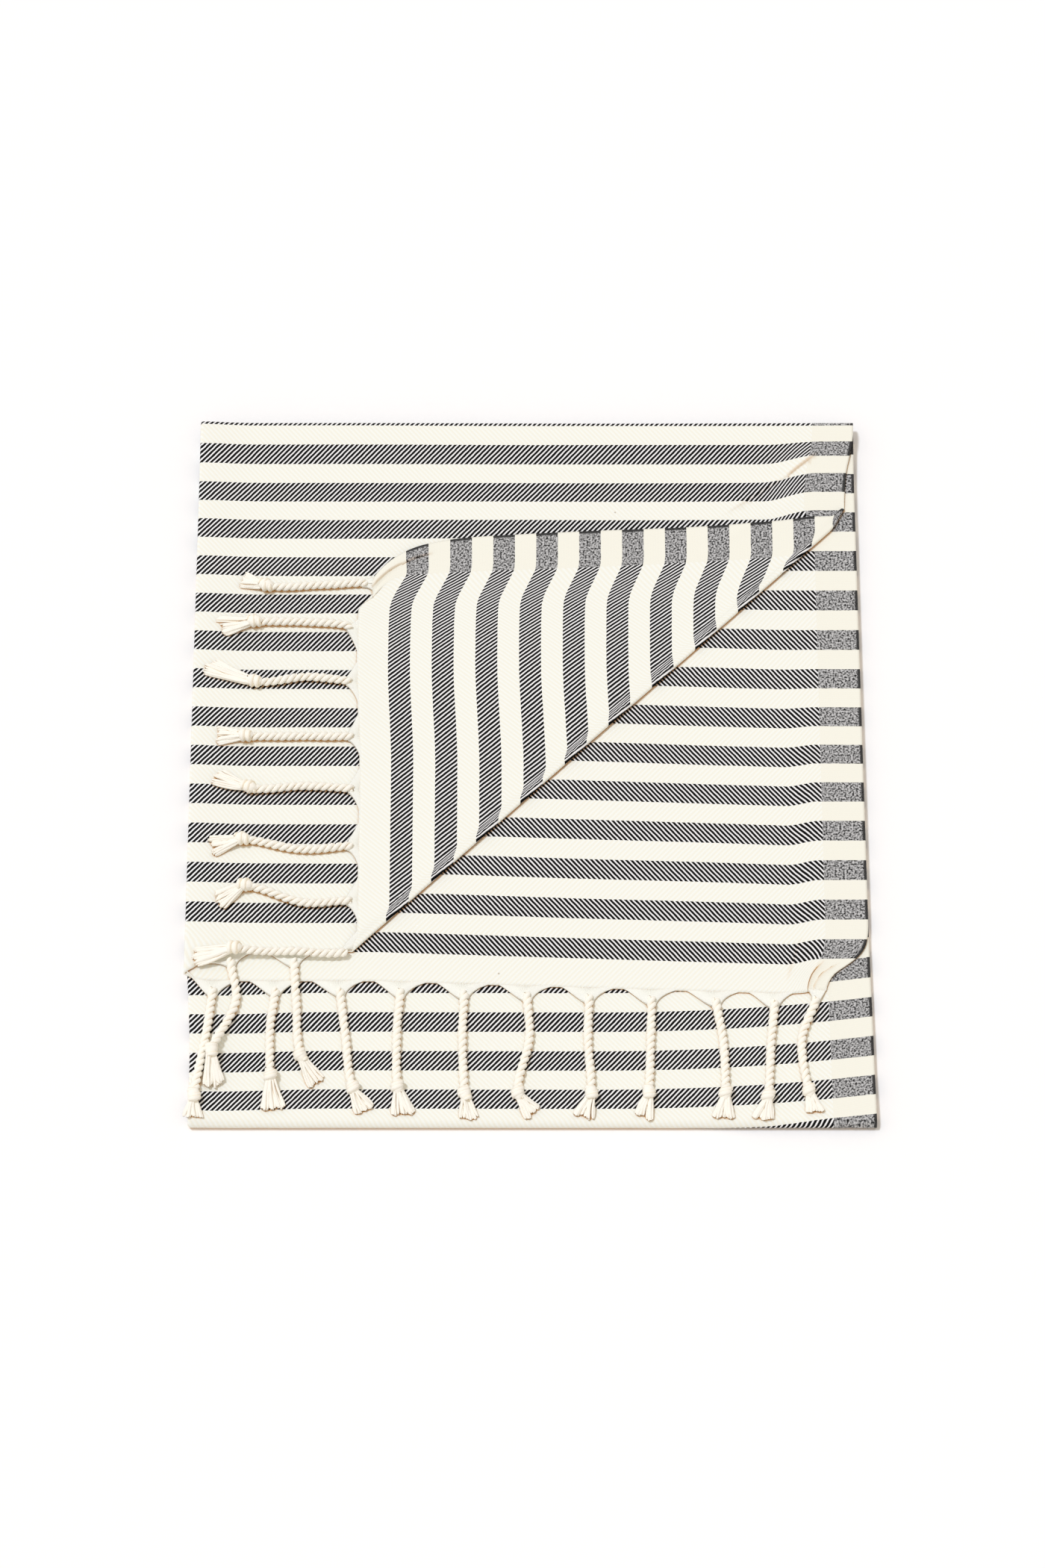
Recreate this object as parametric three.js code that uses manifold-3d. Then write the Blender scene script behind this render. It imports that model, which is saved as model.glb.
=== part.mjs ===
// A flat-woven cotton beach towel with knotted fringes, folded and lying on a flat surface.
// Millimetres, +Z up. The towel is folded in half across its width, with that fold along -X,
// then back and forth along its length, so three double layers lie on each other. The near
// right corner of the top layer is turned back up over a diagonal.
//
// A place on the cloth is (u, v): u runs across the width, 0 on the long fold, below 0 on the
// half that lies under; v runs along the length from the woven end that shows.
// Layers are counted from the surface: 0 lies on it, 5 is the top layer, 6 the turned corner.

import * as THREE from "three";
import { mergeVertices } from "three/addons/utils/BufferGeometryUtils.js";
import Module from "manifold-3d";

const wasm = await Module();
wasm.setup();

// ---- driving dimensions ----
const wovenWidth = 1000;
const wovenLength = 1550; // without the fringes
const clothThickness = 1.2;
const foldedLength = 592; // front fold to back fold
const halfWidth = wovenWidth / 2;
const mergeWithin = 1e-3; // points closer than this are one

// the stack: height of a layer's middle = clothThickness / 2 + layer number * pitch
const pitch = { nominal: 1.8, sidePuff: 0.6, sideReach: 24, foldPuff: 0.8, foldReach: 30 };
const pitchWave = { height: 0.1, x: 71, y: 93, startX: 0.6, startY: 1.1 };
const leftEdge = -250.4;
const backEdge = foldedLength / 2;
const frontEdge = -foldedLength / 2;
// at the front the lower double layers' long fold lies this far in, and their selvedges less
const lowerInset = { fold: 6, keep: 0.2, fromY: -110, toY: -250 };

// where the woven end that shows lies, on each half
const underEndY = -181;
const overEndSlip = 23; // the upper half ends this much further back
const slipLength = 150; // the difference is taken up over this much cloth
const slipWidth = 30;

// the turned corner: its fold runs at 45 degrees along y = x + foldOffset
const foldOffset = -28;
const cornerLift = { rest: 0.6, fold: 2.1, foldReach: 16 };
const cornerWave = { height: 0.2, x: 47, y: 58, startX: 1, startY: 0 };
const turnedDrift = { x: -4, y: -7, reach: 60 };
const turnedSag = { depth: 20, from: 209, to: -78, band: 35, reach: 110 };
const turnedLean = { x: 12, low: 105, high: 165, endX: -127, far: 240, least: 0.3 };

// how the halves stray from straight
const overSideDraw = { x: -9, y: 213, reach: 60, fromX: 150, toX: 240, fade: 40 };
const underDroop = { y: -10, fromX: -110, toX: 190, fade: 270 };
// the two woven corners are drawn in to the last tassel of their side
const underCorner = { x: -32, y: 2.5, along: 22, across: 36 };
const overCorner = { x: -2, y: -36, along: 42, across: 62 };

// ---- fringes ----
// tassels of each half, counted outwards from the long fold
const tasselsUnder = { count: 11, first: -22, step: -45.5 };
const tasselsOver = { count: 10, first: 33, step: 46.1 };
const cornerRoot = 494; // the outermost tassel of each half gathers the corner
const cord = { radius: 3.4, rootWide: 2.4, gather: 14, sides: 6, underEnd: 30 };
const knot = { radius: 5.4, half: 5.5 };
const tuft = { wide: 6.6, thick: 3.0 };
const spine = { gap: 0.4, depth: 2.2 }; // the strip of warp that joins the tassels' roots
const restGap = 0.35;
// A row is one tassel, from the hidden half's selvedge to the other. Lengths are from the woven
// end, and the side columns are sideways strays, above 0 towards growing u.
const frontTassels = [
  // start: side where the cord begins, bow: side at mid cord, knot: length to knot, drift: side at knot, tip: length, swing: side at tip
  { start: 4, bow: 14, knot: 84, drift: 10, tip: 102, swing: 4 },
  { start: 1, bow: 4, knot: 86, drift: 7, tip: 101, swing: 12 },
  { start: -1.5, bow: -6, knot: 85, drift: -7, tip: 102, swing: -5 },
  { start: 0, bow: 1, knot: 86, drift: 3, tip: 104, swing: 7 },
  { start: 0, bow: 1, knot: 88, drift: -1, tip: 105, swing: 5 },
  { start: -0.5, bow: -2, knot: 90, drift: 6, tip: 106, swing: -7 },
  { start: 0, bow: 1, knot: 92, drift: -1, tip: 108, swing: -5 },
  { start: 1, bow: 3, knot: 88, drift: 2, tip: 107, swing: -4 },
  { start: -1, bow: -5, knot: 89, drift: -11, tip: 104, swing: -24 },
  { start: 1, bow: 4, knot: 79, drift: 3, tip: 106, swing: 0 },
  { start: 1, bow: 5, knot: 96, drift: 12, tip: 112, swing: 10 },
  { start: 1, bow: 5, knot: 84, drift: -11, tip: 112, swing: -9 },
  { start: 1, bow: 3, knot: 86, drift: 7, tip: 112, swing: 22 },
  { start: -5, bow: -5, knot: 88, drift: -4, tip: 119, swing: -9 },
  { start: -0.5, bow: -2, knot: 84, drift: 11, tip: 108, swing: -4 },
  { start: -1, bow: -4, knot: 87, drift: 4, tip: 112, swing: -2 },
  { start: 1, bow: 3, knot: 83, drift: 1, tip: 112, swing: 13 },
  { start: 0, bow: 1, knot: 86, drift: 1, tip: 108, swing: 3 },
  { start: 1, bow: 4, knot: 76, drift: 0, tip: 113, swing: 15 },
  { start: 1.5, bow: 6, knot: 79, drift: 7, tip: 107, swing: 3 },
  { start: 0, bow: -1, knot: 86, drift: 1, tip: 106, swing: 8 },
];
const backTassels = { knot: 84, tip: 106, flat: 1.35, wide: 4.2, knotFlat: 1.5, knotWide: 6 };

// ---- curves used below ----
const smooth = (from, to, x) => THREE.MathUtils.smoothstep((x - from) / (to - from), 0, 1);
const bell = (x, reach) => Math.exp(-((x / reach) ** 2));
const rollOff = (x) => Math.max(0, Math.min(1, x));
const waveAt = (w, x, y) => w.height * Math.sin(x / w.x + w.startX) * Math.sin(y / w.y + w.startY);

// ---- the stack ----
const foldPitch = pitch.nominal + pitch.foldPuff;
const backArcY = backEdge - 1.5 * foldPitch;
const frontArcY = frontEdge + 1.5 * foldPitch;
const arcLength = Math.PI * foldPitch;
const topRun = backArcY - underEndY;
const middleRun = backArcY - frontArcY;
const middleStart = topRun + arcLength;
const bottomStart = middleStart + middleRun + arcLength;
const hairpin = (Math.PI * pitch.nominal) / 4; // half of the long fold's arc, in cloth

// Height step between layers: more near the folds, and a little uneven.
function pitchAt(x, y) {
  const cx = Math.max(x, leftEdge);
  const cy = Math.max(frontArcY, Math.min(backArcY, y));
  const puff =
    pitch.sidePuff * bell(cx - leftEdge, pitch.sideReach) +
    pitch.foldPuff * (bell(cy - backArcY, pitch.foldReach) + bell(cy - frontArcY, pitch.foldReach));
  return pitch.nominal + puff + waveAt(pitchWave, cx, cy);
}

// The path along the length. side is +0.5 on the upper half and -0.5 on the under one.
function alongPath(q, side, step) {
  if (q < topRun) return { run: "top", y: underEndY + q, layer: 4.5 + side };
  if (q < middleStart) {
    const turn = (Math.PI * (q - topRun)) / arcLength;
    const y = backArcY + step * (1 + side) * Math.sin(turn);
    return { run: "back", y, layer: 3.5 + (1 + side) * Math.cos(turn) };
  }
  if (q < middleStart + middleRun) return { run: "middle", y: backArcY - (q - middleStart), layer: 2.5 - side };
  if (q < bottomStart) {
    const turn = (Math.PI * (q - middleStart - middleRun)) / arcLength;
    const y = frontArcY - step * (1 - side) * Math.sin(turn);
    return { run: "front", y, layer: 1.5 + (1 - side) * Math.cos(turn) };
  }
  return { run: "bottom", y: frontArcY + (q - bottomStart), layer: 0.5 + side };
}

const slipAt = (u) => overEndSlip * smooth(-slipWidth, slipWidth, u);
const pathPlace = (u, v) => v + slipAt(u) * rollOff(1 - v / slipLength);

// Flat place of the cloth before the corner is turned.
function layOut(u, v) {
  const q = pathPlace(u, v);
  const edgeStep = pitchAt(leftEdge, alongPath(q, 0, foldPitch).y);
  const turn = (Math.PI / 2) * Math.max(-1, Math.min(1, u / hairpin));
  const side = 0.5 * Math.sin(turn);
  const { run, y, layer } = alongPath(q, side, foldPitch);
  const radius = edgeStep / 2;
  const beyond = Math.max(0, Math.abs(u) - hairpin);
  const inward = run === "top" ? 0 : lowerInset.fold * smooth(lowerInset.fromY, lowerInset.toY, y);
  const inset = inward * (1 - (1 - lowerInset.keep) * (beyond / halfWidth));
  return { run, x: leftEdge + inset + radius * (1 - Math.cos(turn)) + beyond, y, layer };
}

// How far past the corner's fold a flat place lies; above 0 it is turned.
const pastFold = (x, y) => (x - y + foldOffset) / Math.SQRT2;
const rollRadius = (pitch.nominal + cornerLift.rest + cornerLift.fold) / 2;
const rollLength = Math.PI * rollRadius;

function liftAt(behind, x, y) {
  const { rest, fold, foldReach } = cornerLift;
  return rest + fold * bell(behind, foldReach) + waveAt(cornerWave, x, y);
}

// Final place of the cloth's middle at (u, v).
function place(u, v) {
  const flat = layOut(u, v);
  let { x, y } = flat;
  let rise = 0; // 0 to 1 from the top layer to the turned corner
  let behind = 0; // distance back from the corner's fold
  const s = flat.run === "top" && u > hairpin ? pastFold(x, y) : 0;
  if (s > 0) {
    const turn = Math.min(s / rollRadius, Math.PI);
    const sideways = rollRadius * Math.sin(turn) - Math.max(0, s - rollLength);
    behind = Math.max(0, s - rollLength);
    x += (sideways - s) / Math.SQRT2;
    y -= (sideways - s) / Math.SQRT2;
    rise = (1 - Math.cos(turn)) / 2;
  }
  const settled = smooth(0, turnedDrift.reach, behind);
  if (flat.run === "top" && u > 0) {
    const { x: draw, y: at, reach, fromX, toX, fade } = overSideDraw;
    x += draw * bell(y - at, reach) * smooth(fromX, toX, x) * smooth(backArcY, backArcY - fade, y);
  }
  if (flat.run === "top" && u < 0) {
    const share = rollOff((x - underDroop.fromX) / (underDroop.toX - underDroop.fromX));
    y += underDroop.y * share * smooth(backArcY, backArcY - underDroop.fade, y);
    const pull = bell(v, underCorner.along) * bell(halfWidth + u, underCorner.across);
    x += underCorner.x * pull;
    y += underCorner.y * pull;
  }
  if (rise > 0) {
    const fromSelvedge = Math.max(0, halfWidth - u - turnedSag.band);
    const sag = turnedSag.depth * rollOff((turnedSag.from - x) / (turnedSag.from - turnedSag.to));
    const lean = turnedLean.x * smooth(turnedLean.low, turnedLean.high, y);
    const nearEnd = Math.max(turnedLean.least, 1 - (x - turnedLean.endX) / turnedLean.far);
    const pull = bell(v, overCorner.across) * bell(halfWidth - u, overCorner.along);
    x += settled * (turnedDrift.x + lean * nearEnd) + overCorner.x * pull;
    y += settled * (turnedDrift.y - sag * bell(fromSelvedge, turnedSag.reach / 2)) + overCorner.y * pull;
  }
  const step = pitchAt(x, y);
  const z = clothThickness / 2 + flat.layer * step + rise * (step + liftAt(behind, x, y));
  return new THREE.Vector3(x, y, z);
}

// ---- cloth: a grid of places, cut along the corner's fold, thickened ----
const spread = (stations, from, to) => stations.filter((x) => x > from && x < to);
const acrossSteps = [12, 34, 84, 146, 208, 270, 332, 394, 440, 472, cornerRoot, halfWidth];
const hairpinSteps = [-1, -0.5, 0, 0.5, 1].map((share) => share * hairpin);
const uSteps = [...acrossSteps.map((u) => -u).reverse(), ...hairpinSteps, ...acrossSteps];

const runSteps = [0, 12, 32, 64, 110, 165, 220, 275, 325, 365, 400, 430, 456];
const middleSteps = [12, 32, 64, 115, 180, 250, 320, 390, 450, 500, 540, 568];
const bottomSteps = [12, 32, 64, 115, 180, 250, 320, 385, 435];
const quarters = [0, 0.25, 0.5, 0.75, 1];
const arcSteps = quarters.map((share) => share * arcLength);
const vSteps = [
  ...spread(runSteps, -1, topRun - 4),
  ...arcSteps.map((a) => topRun + a),
  ...middleSteps.map((s) => middleStart + s),
  ...arcSteps.map((a) => middleStart + middleRun + a),
  ...bottomSteps.map((s) => bottomStart + s),
  wovenLength,
];

const besideFold = 14; // one more cut beside the corner's fold
const foldLines = [...quarters.map((share) => share * rollLength), rollLength + besideFold];

// Cuts a convex outline of {u, v, s} corners by s = level, and gives the part below and above.
function cut(outline, level) {
  const below = [];
  const above = [];
  outline.forEach((a, i) => {
    const b = outline[(i + 1) % outline.length];
    if (a.s <= level) below.push(a);
    if (a.s >= level) above.push(a);
    if ((a.s - level) * (b.s - level) < 0) {
      const t = (level - a.s) / (b.s - a.s);
      const c = { u: a.u + t * (b.u - a.u), v: a.v + t * (b.v - a.v), s: level };
      below.push(c);
      above.push(c);
    }
  });
  return [below, above];
}

// All cells of the grid between the steps given, as outlines; those on the top run are cut.
function cells(us, vs) {
  const found = [];
  for (let i = 0; i + 1 < us.length; i++) {
    for (let j = 0; j + 1 < vs.length; j++) {
      const corners = [[us[i], vs[j]], [us[i + 1], vs[j]], [us[i + 1], vs[j + 1]], [us[i], vs[j + 1]]];
      const folds = us[i] >= hairpin && vs[j + 1] <= topRun - overEndSlip;
      let rest = corners.map(([u, v]) => {
        const flat = layOut(u, v);
        return { u, v, s: folds ? pastFold(flat.x, flat.y) : 0 };
      });
      for (const level of folds ? foldLines : []) {
        const [below, above] = cut(rest, level);
        if (below.length > 2) found.push(below);
        rest = above;
      }
      if (rest.length > 2) found.push(rest);
    }
  }
  return found;
}

// One closed solid: the outlines placed, raised and lowered by half the thickness, and rimmed.
function thicken(outlines, thickness) {
  const places = [];
  const index = new Map();
  const number = ({ u, v }) => {
    const key = `${u.toFixed(4)},${v.toFixed(4)}`;
    if (!index.has(key)) {
      index.set(key, places.length);
      places.push(place(u, v));
    }
    return index.get(key);
  };
  const faces = [];
  for (const outline of outlines) {
    const corners = outline.map(number).filter((n, i, all) => n !== all[(i + 1) % all.length]);
    for (let i = 1; i + 1 < corners.length; i++) faces.push([corners[0], corners[i], corners[i + 1]]);
  }
  const normals = places.map(() => new THREE.Vector3());
  const ab = new THREE.Vector3();
  const ac = new THREE.Vector3();
  for (const [a, b, c] of faces) {
    ab.subVectors(places[b], places[a]);
    ac.subVectors(places[c], places[a]);
    ab.cross(ac).normalize();
    for (const n of [a, b, c]) normals[n].add(ab);
  }
  const count = places.length;
  const points = [];
  for (const direction of [1, -1]) {
    places.forEach((p, n) => {
      const shift = normals[n].clone().normalize().multiplyScalar((direction * thickness) / 2);
      points.push(...p.clone().add(shift).toArray());
    });
  }
  const edges = new Map();
  for (const face of faces) {
    face.forEach((a, i) => {
      const b = face[(i + 1) % 3];
      if (!edges.delete(`${b},${a}`)) edges.set(`${a},${b}`, [a, b]);
    });
  }
  const triangles = [];
  for (const [a, b, c] of faces) triangles.push(a, b, c, a + count, c + count, b + count);
  for (const [a, b] of edges.values()) triangles.push(b, a, a + count, b, a + count, b + count);
  return solidFrom(points, triangles);
}

function geometryFrom(points, triangles) {
  const geometry = new THREE.BufferGeometry();
  geometry.setAttribute("position", new THREE.Float32BufferAttribute(points, 3));
  geometry.setIndex(triangles);
  return geometry;
}

const solidFrom = (points, triangles) =>
  new wasm.Manifold(
    new wasm.Mesh({ numProp: 3, vertProperties: new Float32Array(points), triVerts: new Uint32Array(triangles) }),
  );

function geometryOf(solid) {
  const { vertProperties, triVerts } = solid.getMesh();
  return mergeVertices(geometryFrom(Array.from(vertProperties), Array.from(triVerts)), mergeWithin);
}

// ---- fringes: tassels joined to a strip along the woven end ----

// A tube of rings {at, wide, thick} along a route, closed at both ends.
function tube(rings) {
  const { sides } = cord;
  const points = [];
  rings.forEach(({ at, wide, thick }, i) => {
    const before = rings[Math.max(0, i - 1)].at;
    const after = rings[Math.min(rings.length - 1, i + 1)].at;
    const across = new THREE.Vector3(-(after.y - before.y), after.x - before.x, 0).normalize();
    for (let k = 0; k < sides; k++) {
      const angle = (2 * Math.PI * (k + 0.5)) / sides;
      const side = across.clone().multiplyScalar(wide * Math.cos(angle));
      points.push(at.x + side.x, at.y + side.y, at.z + thick * Math.sin(angle));
    }
  });
  const triangles = [];
  for (let i = 0; i + 1 < rings.length; i++) {
    for (let k = 0; k < sides; k++) {
      const a = i * sides + k;
      const b = i * sides + ((k + 1) % sides);
      triangles.push(a, b, b + sides, a, b + sides, a + sides);
    }
  }
  const last = (rings.length - 1) * sides;
  for (let k = 1; k + 1 < sides; k++) triangles.push(0, k + 1, k, last, last + k, last + k + 1);
  return solidFrom(points, triangles);
}

// Where tassel i is rooted across the width.
function tasselAt(i) {
  const { count, first, step } = tasselsUnder;
  if (i === 0) return -cornerRoot;
  if (i === frontTassels.length - 1) return cornerRoot;
  return i < count ? first + (count - 1 - i) * step : tasselsOver.first + (i - count) * tasselsOver.step;
}

// Top of the cloth that a tassel of the front fringe lies on, at (x, y).
function topUnder(u, x, y) {
  const step = pitchAt(x, y);
  const onCorner = pastFold(leftEdge + u, underEndY + overEndSlip) > 0 && u > 0;
  const overUnderEnd = u > 0 && y > underEndY - cord.underEnd;
  const layer = onCorner ? 5 : overUnderEnd ? 4 : 3;
  return clothThickness + layer * step;
}

function frontTassel(row, i) {
  const u = tasselAt(i);
  const root = place(u, -spine.gap - spine.depth / 2);
  const turned = u > 0 && pastFold(leftEdge + u, underEndY + overEndSlip) > 0;
  const along = turned ? new THREE.Vector3(-1, 0, 0) : new THREE.Vector3(0, -1, 0);
  const side = turned ? new THREE.Vector3(0, 1, 0) : new THREE.Vector3(Math.sign(u), 0, 0);
  const stations = [
    { far: 0, stray: 0, wide: cord.rootWide, thick: clothThickness / 2 },
    { far: cord.gather, stray: row.start, wide: cord.radius, thick: cord.radius },
    { far: row.knot / 2, stray: row.bow, wide: cord.radius, thick: cord.radius },
    { far: row.knot - knot.half, stray: row.drift, wide: cord.radius, thick: cord.radius },
    { far: row.knot, stray: row.drift, wide: knot.radius, thick: knot.radius },
    { far: row.knot + knot.half, stray: row.drift, wide: tuft.thick, thick: tuft.thick },
    { far: row.tip, stray: row.swing, wide: tuft.wide, thick: tuft.thick },
  ];
  const rings = stations.map(({ far, stray, wide, thick }, n) => {
    const at = root.clone().addScaledVector(along, far).addScaledVector(side, stray);
    if (n > 0) at.z = topUnder(u, at.x, at.y) + restGap + thick;
    return { at, wide, thick };
  });
  return tube(rings);
}

// A tassel of the hidden fringe, pressed flat between the surface and the layers above.
function backTassel(i) {
  const u = tasselAt(i);
  const root = place(u, wovenLength + spine.gap + spine.depth / 2);
  const { knot: knotAt, tip, flat, wide, knotFlat, knotWide } = backTassels;
  const stations = [
    { far: 0, wide: cord.rootWide, thick: clothThickness / 2 },
    { far: cord.gather, wide, thick: flat },
    { far: knotAt - knot.half, wide, thick: flat },
    { far: knotAt, wide: knotWide, thick: knotFlat },
    { far: tip, wide: tuft.wide, thick: flat },
  ];
  const rings = stations.map((station, n) => {
    const at = new THREE.Vector3(root.x, root.y + station.far, root.z);
    if (n > 0) at.z = station.thick + restGap;
    return { at, wide: station.wide, thick: station.thick };
  });
  return tube(rings);
}

function strip(vs) {
  return thicken(cells(uSteps, vs), clothThickness);
}

function fringe(edge, tassels) {
  return tassels.reduce((whole, tassel) => whole.add(tassel), edge);
}

const cotton = (color, roughness) =>
  new THREE.MeshStandardMaterial({ color, roughness, metalness: 0, side: THREE.FrontSide });

function part(name, solid, material) {
  const mesh = new THREE.Mesh(geometryOf(solid), material);
  mesh.name = name;
  return mesh;
}

const cloth = thicken(cells(uSteps, vSteps), clothThickness);
const frontFringe = fringe(
  strip([-spine.gap - spine.depth, -spine.gap]),
  frontTassels.map(frontTassel),
);
const backFringe = fringe(
  strip([wovenLength + spine.gap, wovenLength + spine.gap + spine.depth]),
  frontTassels.map((row, i) => backTassel(i)),
);

const towel = new THREE.Group();
towel.name = "beach_towel";
towel.add(
  part("towel_cloth", cloth, cotton(0xc9c7c0, 0.9)),
  part("front_fringe", frontFringe, cotton(0xfbf7ee, 0.88)),
  part("back_fringe", backFringe, cotton(0xfbf7ee, 0.88)),
);

export default towel;
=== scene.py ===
import bmesh
import bpy
import numpy as np
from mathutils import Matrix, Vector


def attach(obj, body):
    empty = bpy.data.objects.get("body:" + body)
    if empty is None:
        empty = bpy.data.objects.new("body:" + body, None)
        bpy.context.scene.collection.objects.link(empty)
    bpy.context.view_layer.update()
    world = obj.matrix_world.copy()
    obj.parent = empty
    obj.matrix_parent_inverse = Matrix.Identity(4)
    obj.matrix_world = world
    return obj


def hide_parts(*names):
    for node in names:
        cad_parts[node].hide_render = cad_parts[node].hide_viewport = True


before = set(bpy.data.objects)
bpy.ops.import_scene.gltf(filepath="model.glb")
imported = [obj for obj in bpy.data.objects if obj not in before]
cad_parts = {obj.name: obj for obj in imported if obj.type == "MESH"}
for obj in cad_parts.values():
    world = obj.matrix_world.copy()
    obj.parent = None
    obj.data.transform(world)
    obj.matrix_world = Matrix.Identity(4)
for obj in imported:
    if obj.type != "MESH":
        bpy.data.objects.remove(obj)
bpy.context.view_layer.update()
mm = 0.001
upright = np.array([0, 0, 1.0])
rng = np.random.default_rng(7)


# Eased step from 0 to 1 between start and end: three t squared less two t cubed.
def ease(start, end, x):
    t = np.clip((x - start) / (end - start), 0, 1)
    return t * t * (3 - 2 * t)


# Bell curve that is 1 at 0 and fades over reach: e to the power of minus x over reach, squared.
def bell(x, reach):
    return np.exp(-((x / reach) ** 2))


# Slow wave: the sine of x over a length, plus a phase.
def wave(x, length, phase=0.0):
    return np.sin(x / length + phase)


# sRGB hex to linear red, green, blue, alpha, by the sRGB curve.
def linear(hexColour):
    c = np.array([int(hexColour[i:i + 2], 16) for i in (1, 3, 5)]) / 255
    c = np.where(c <= 0.04045, c / 12.92, ((c + 0.055) / 1.055) ** 2.4)
    return (*c.tolist(), 1.0)


# Adds one node with its settings. Inputs are plain values, sockets to link, or nodes, whose first output
# is linked. By number, Map Range has its value at 0, from at 1 and 2 and to at 3 and 4; Mix has its
# factor at 0, numbers at 2 and 3 and colours at 6 and 7.
def addNode(tree, kind, inputs=None, **settings):
    node = tree.nodes.new(kind)
    for name, value in settings.items():
        setattr(node, name, value)
    for key, value in (inputs or {}).items():
        if isinstance(value, bpy.types.Node):
            value = value.outputs[0]
        if isinstance(value, bpy.types.NodeSocket):
            tree.links.new(value, node.inputs[key])
        else:
            node.inputs[key].default_value = value
    return node


# A new material with an empty node tree.
def newMaterial(name):
    material = bpy.data.materials.new(name)
    material.use_nodes = True
    material.node_tree.nodes.clear()
    return material, material.node_tree


# Painted shade: colour multiplied by a warm brown where something stands within reach of it,
# as in a crease, found by ambient occlusion. Open and closed are the shares of sky at which the brown
# is gone and at which it is full.
def addCreviceShade(tree, colour, brown, reach, openSky, closedSky):
    shelter = addNode(tree, "ShaderNodeAmbientOcclusion", {"Distance": reach * mm}, samples=8)
    share = addNode(tree, "ShaderNodeMapRange", {
        0: shelter.outputs["AO"], 1: closedSky, 2: openSky, 3: 1.0, 4: 0.0,
    })
    return addNode(tree, "ShaderNodeMix", {0: share, 6: colour, 7: linear(brown)},
                   data_type="RGBA", blend_type="MULTIPLY").outputs[2]


# Puts a mesh, a camera or a lamp in the scene as one object, at the origin.
def addObject(name, mesh):
    piece = bpy.data.objects.new(name, mesh)
    bpy.context.scene.collection.objects.link(piece)
    return piece


# The camera stands high over the stack, a little on its near side. Places are metres; lens and sensor
# are millimetres.
camera = {
    "distance": 4.2,
    "tilt": 28.5,  # degrees from straight down
    "aim": (-0.004, -0.013, 0.0),
    "lens": 129.6,
    "sensor": 36,
    "clip": (0.1, 50),
}


# Camera at its distance from the aim, back by the tilt's sine and up by its cosine.
def makeCamera():
    data = bpy.data.cameras.new("photographer")
    data.lens = camera["lens"]
    data.sensor_width = camera["sensor"]
    data.clip_start, data.clip_end = camera["clip"]
    piece = addObject("photographer", data)
    tilt = np.radians(camera["tilt"])
    x, y, z = camera["aim"]
    piece.location = (x, y - camera["distance"] * np.sin(tilt), z + camera["distance"] * np.cos(tilt))
    piece.rotation_euler = (tilt, 0, 0)
    bpy.context.scene.camera = piece


makeCamera()
print("camera ready")

# The cloth is folded in half across its width, with that long fold at the left, and then back and forth
# along its length. u runs across it and is above 0 on the upper half; v runs along it from the woven
# end that shows. x, y and z say where it lies.
towel = {
    "width": 1000,
    "length": 1550,
    "thickness": 1.15,
    "foldedLength": 592,
    "leftEdge": -250.4,
    "pitch": 1.8,  # height from one layer to the next
    "sidePuff": (0.6, 24),  # extra height step at the long fold, and its reach
    "foldPuff": (0.8, 30),  # the same at the two folds across
    "pitchWave": 0.1,  # unevenness of the step, with the lengths and phases of its waves
    "pitchWaveX": (71, 0.6),
    "pitchWaveY": (93, 1.1),
    "underEndY": -181,  # where the under half's woven end lies
    "slip": 23,  # the upper half ends this much further back
    # where across the cloth the slip sets in: u at the woven end, u further in and from what v on, and
    # half of the stretch over which it does; and the v up to which it is whole and at which it is gone
    "slipAcross": {"atEnd": 10, "further": -45, "from": 24, "half": 24, "whole": 500, "gone": 1000},
    # inset of the lower layers' long fold, the share of it at the selvedges, and the y over which it grows
    "lowerInset": (6, 0.2, -110, -250),
    # creep of the lower layers along the cloth, which bends their stripes at the right and the left
    "frontCreep": {
        "right": 9.3,
        "rightFrom": 40,
        "rightOver": 180,
        "power": 2.2,
        "left": -2.2,
        "leftFrom": -150,
        "leftTo": -245,
        "starts": (600, 850),
        "ends": (1500, 1000),
    },
    "foldOffset": -28,  # the corner is turned over along y = x + foldOffset
}
# The near right corner of the upper half, turned back over a fold at 45 degrees.
turnedCorner = {
    "rest": -0.2,  # its height above one more layer step
    "fold": 0.6,  # more height behind its fold, and the reach of that
    "foldReach": 16,
    "wave": 0.2,  # unevenness of its height, with the lengths and phases of its waves
    "waveX": (47, 1),
    "waveY": (58, 0),
    "drift": {"x": -1, "y": -7.5, "over": 14},  # its strays grow over this distance behind its fold
    # the turned selvedge sags towards the near side, more to the left, whole in a band along it
    "sag": {"depth": 18, "fromX": 209, "toX": -78, "power": 0.6, "band": 35, "reach": 55},
    # a band along the turned selvedge leans to the right, a little less the further right it is
    "lean": {"by": 5.4, "band": 31.5, "fades": 20, "aboutX": -127, "far": 800},
    "settle": {"by": 3.4, "fromY": 95, "toY": 0},  # its near part lies further right
    # the gathered corner is pulled, over reaches along and across the cloth, wider by the flare at its end
    "pull": {"x": -3, "y": -38, "along": 22, "across": 21, "flare": 12},
}
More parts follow.
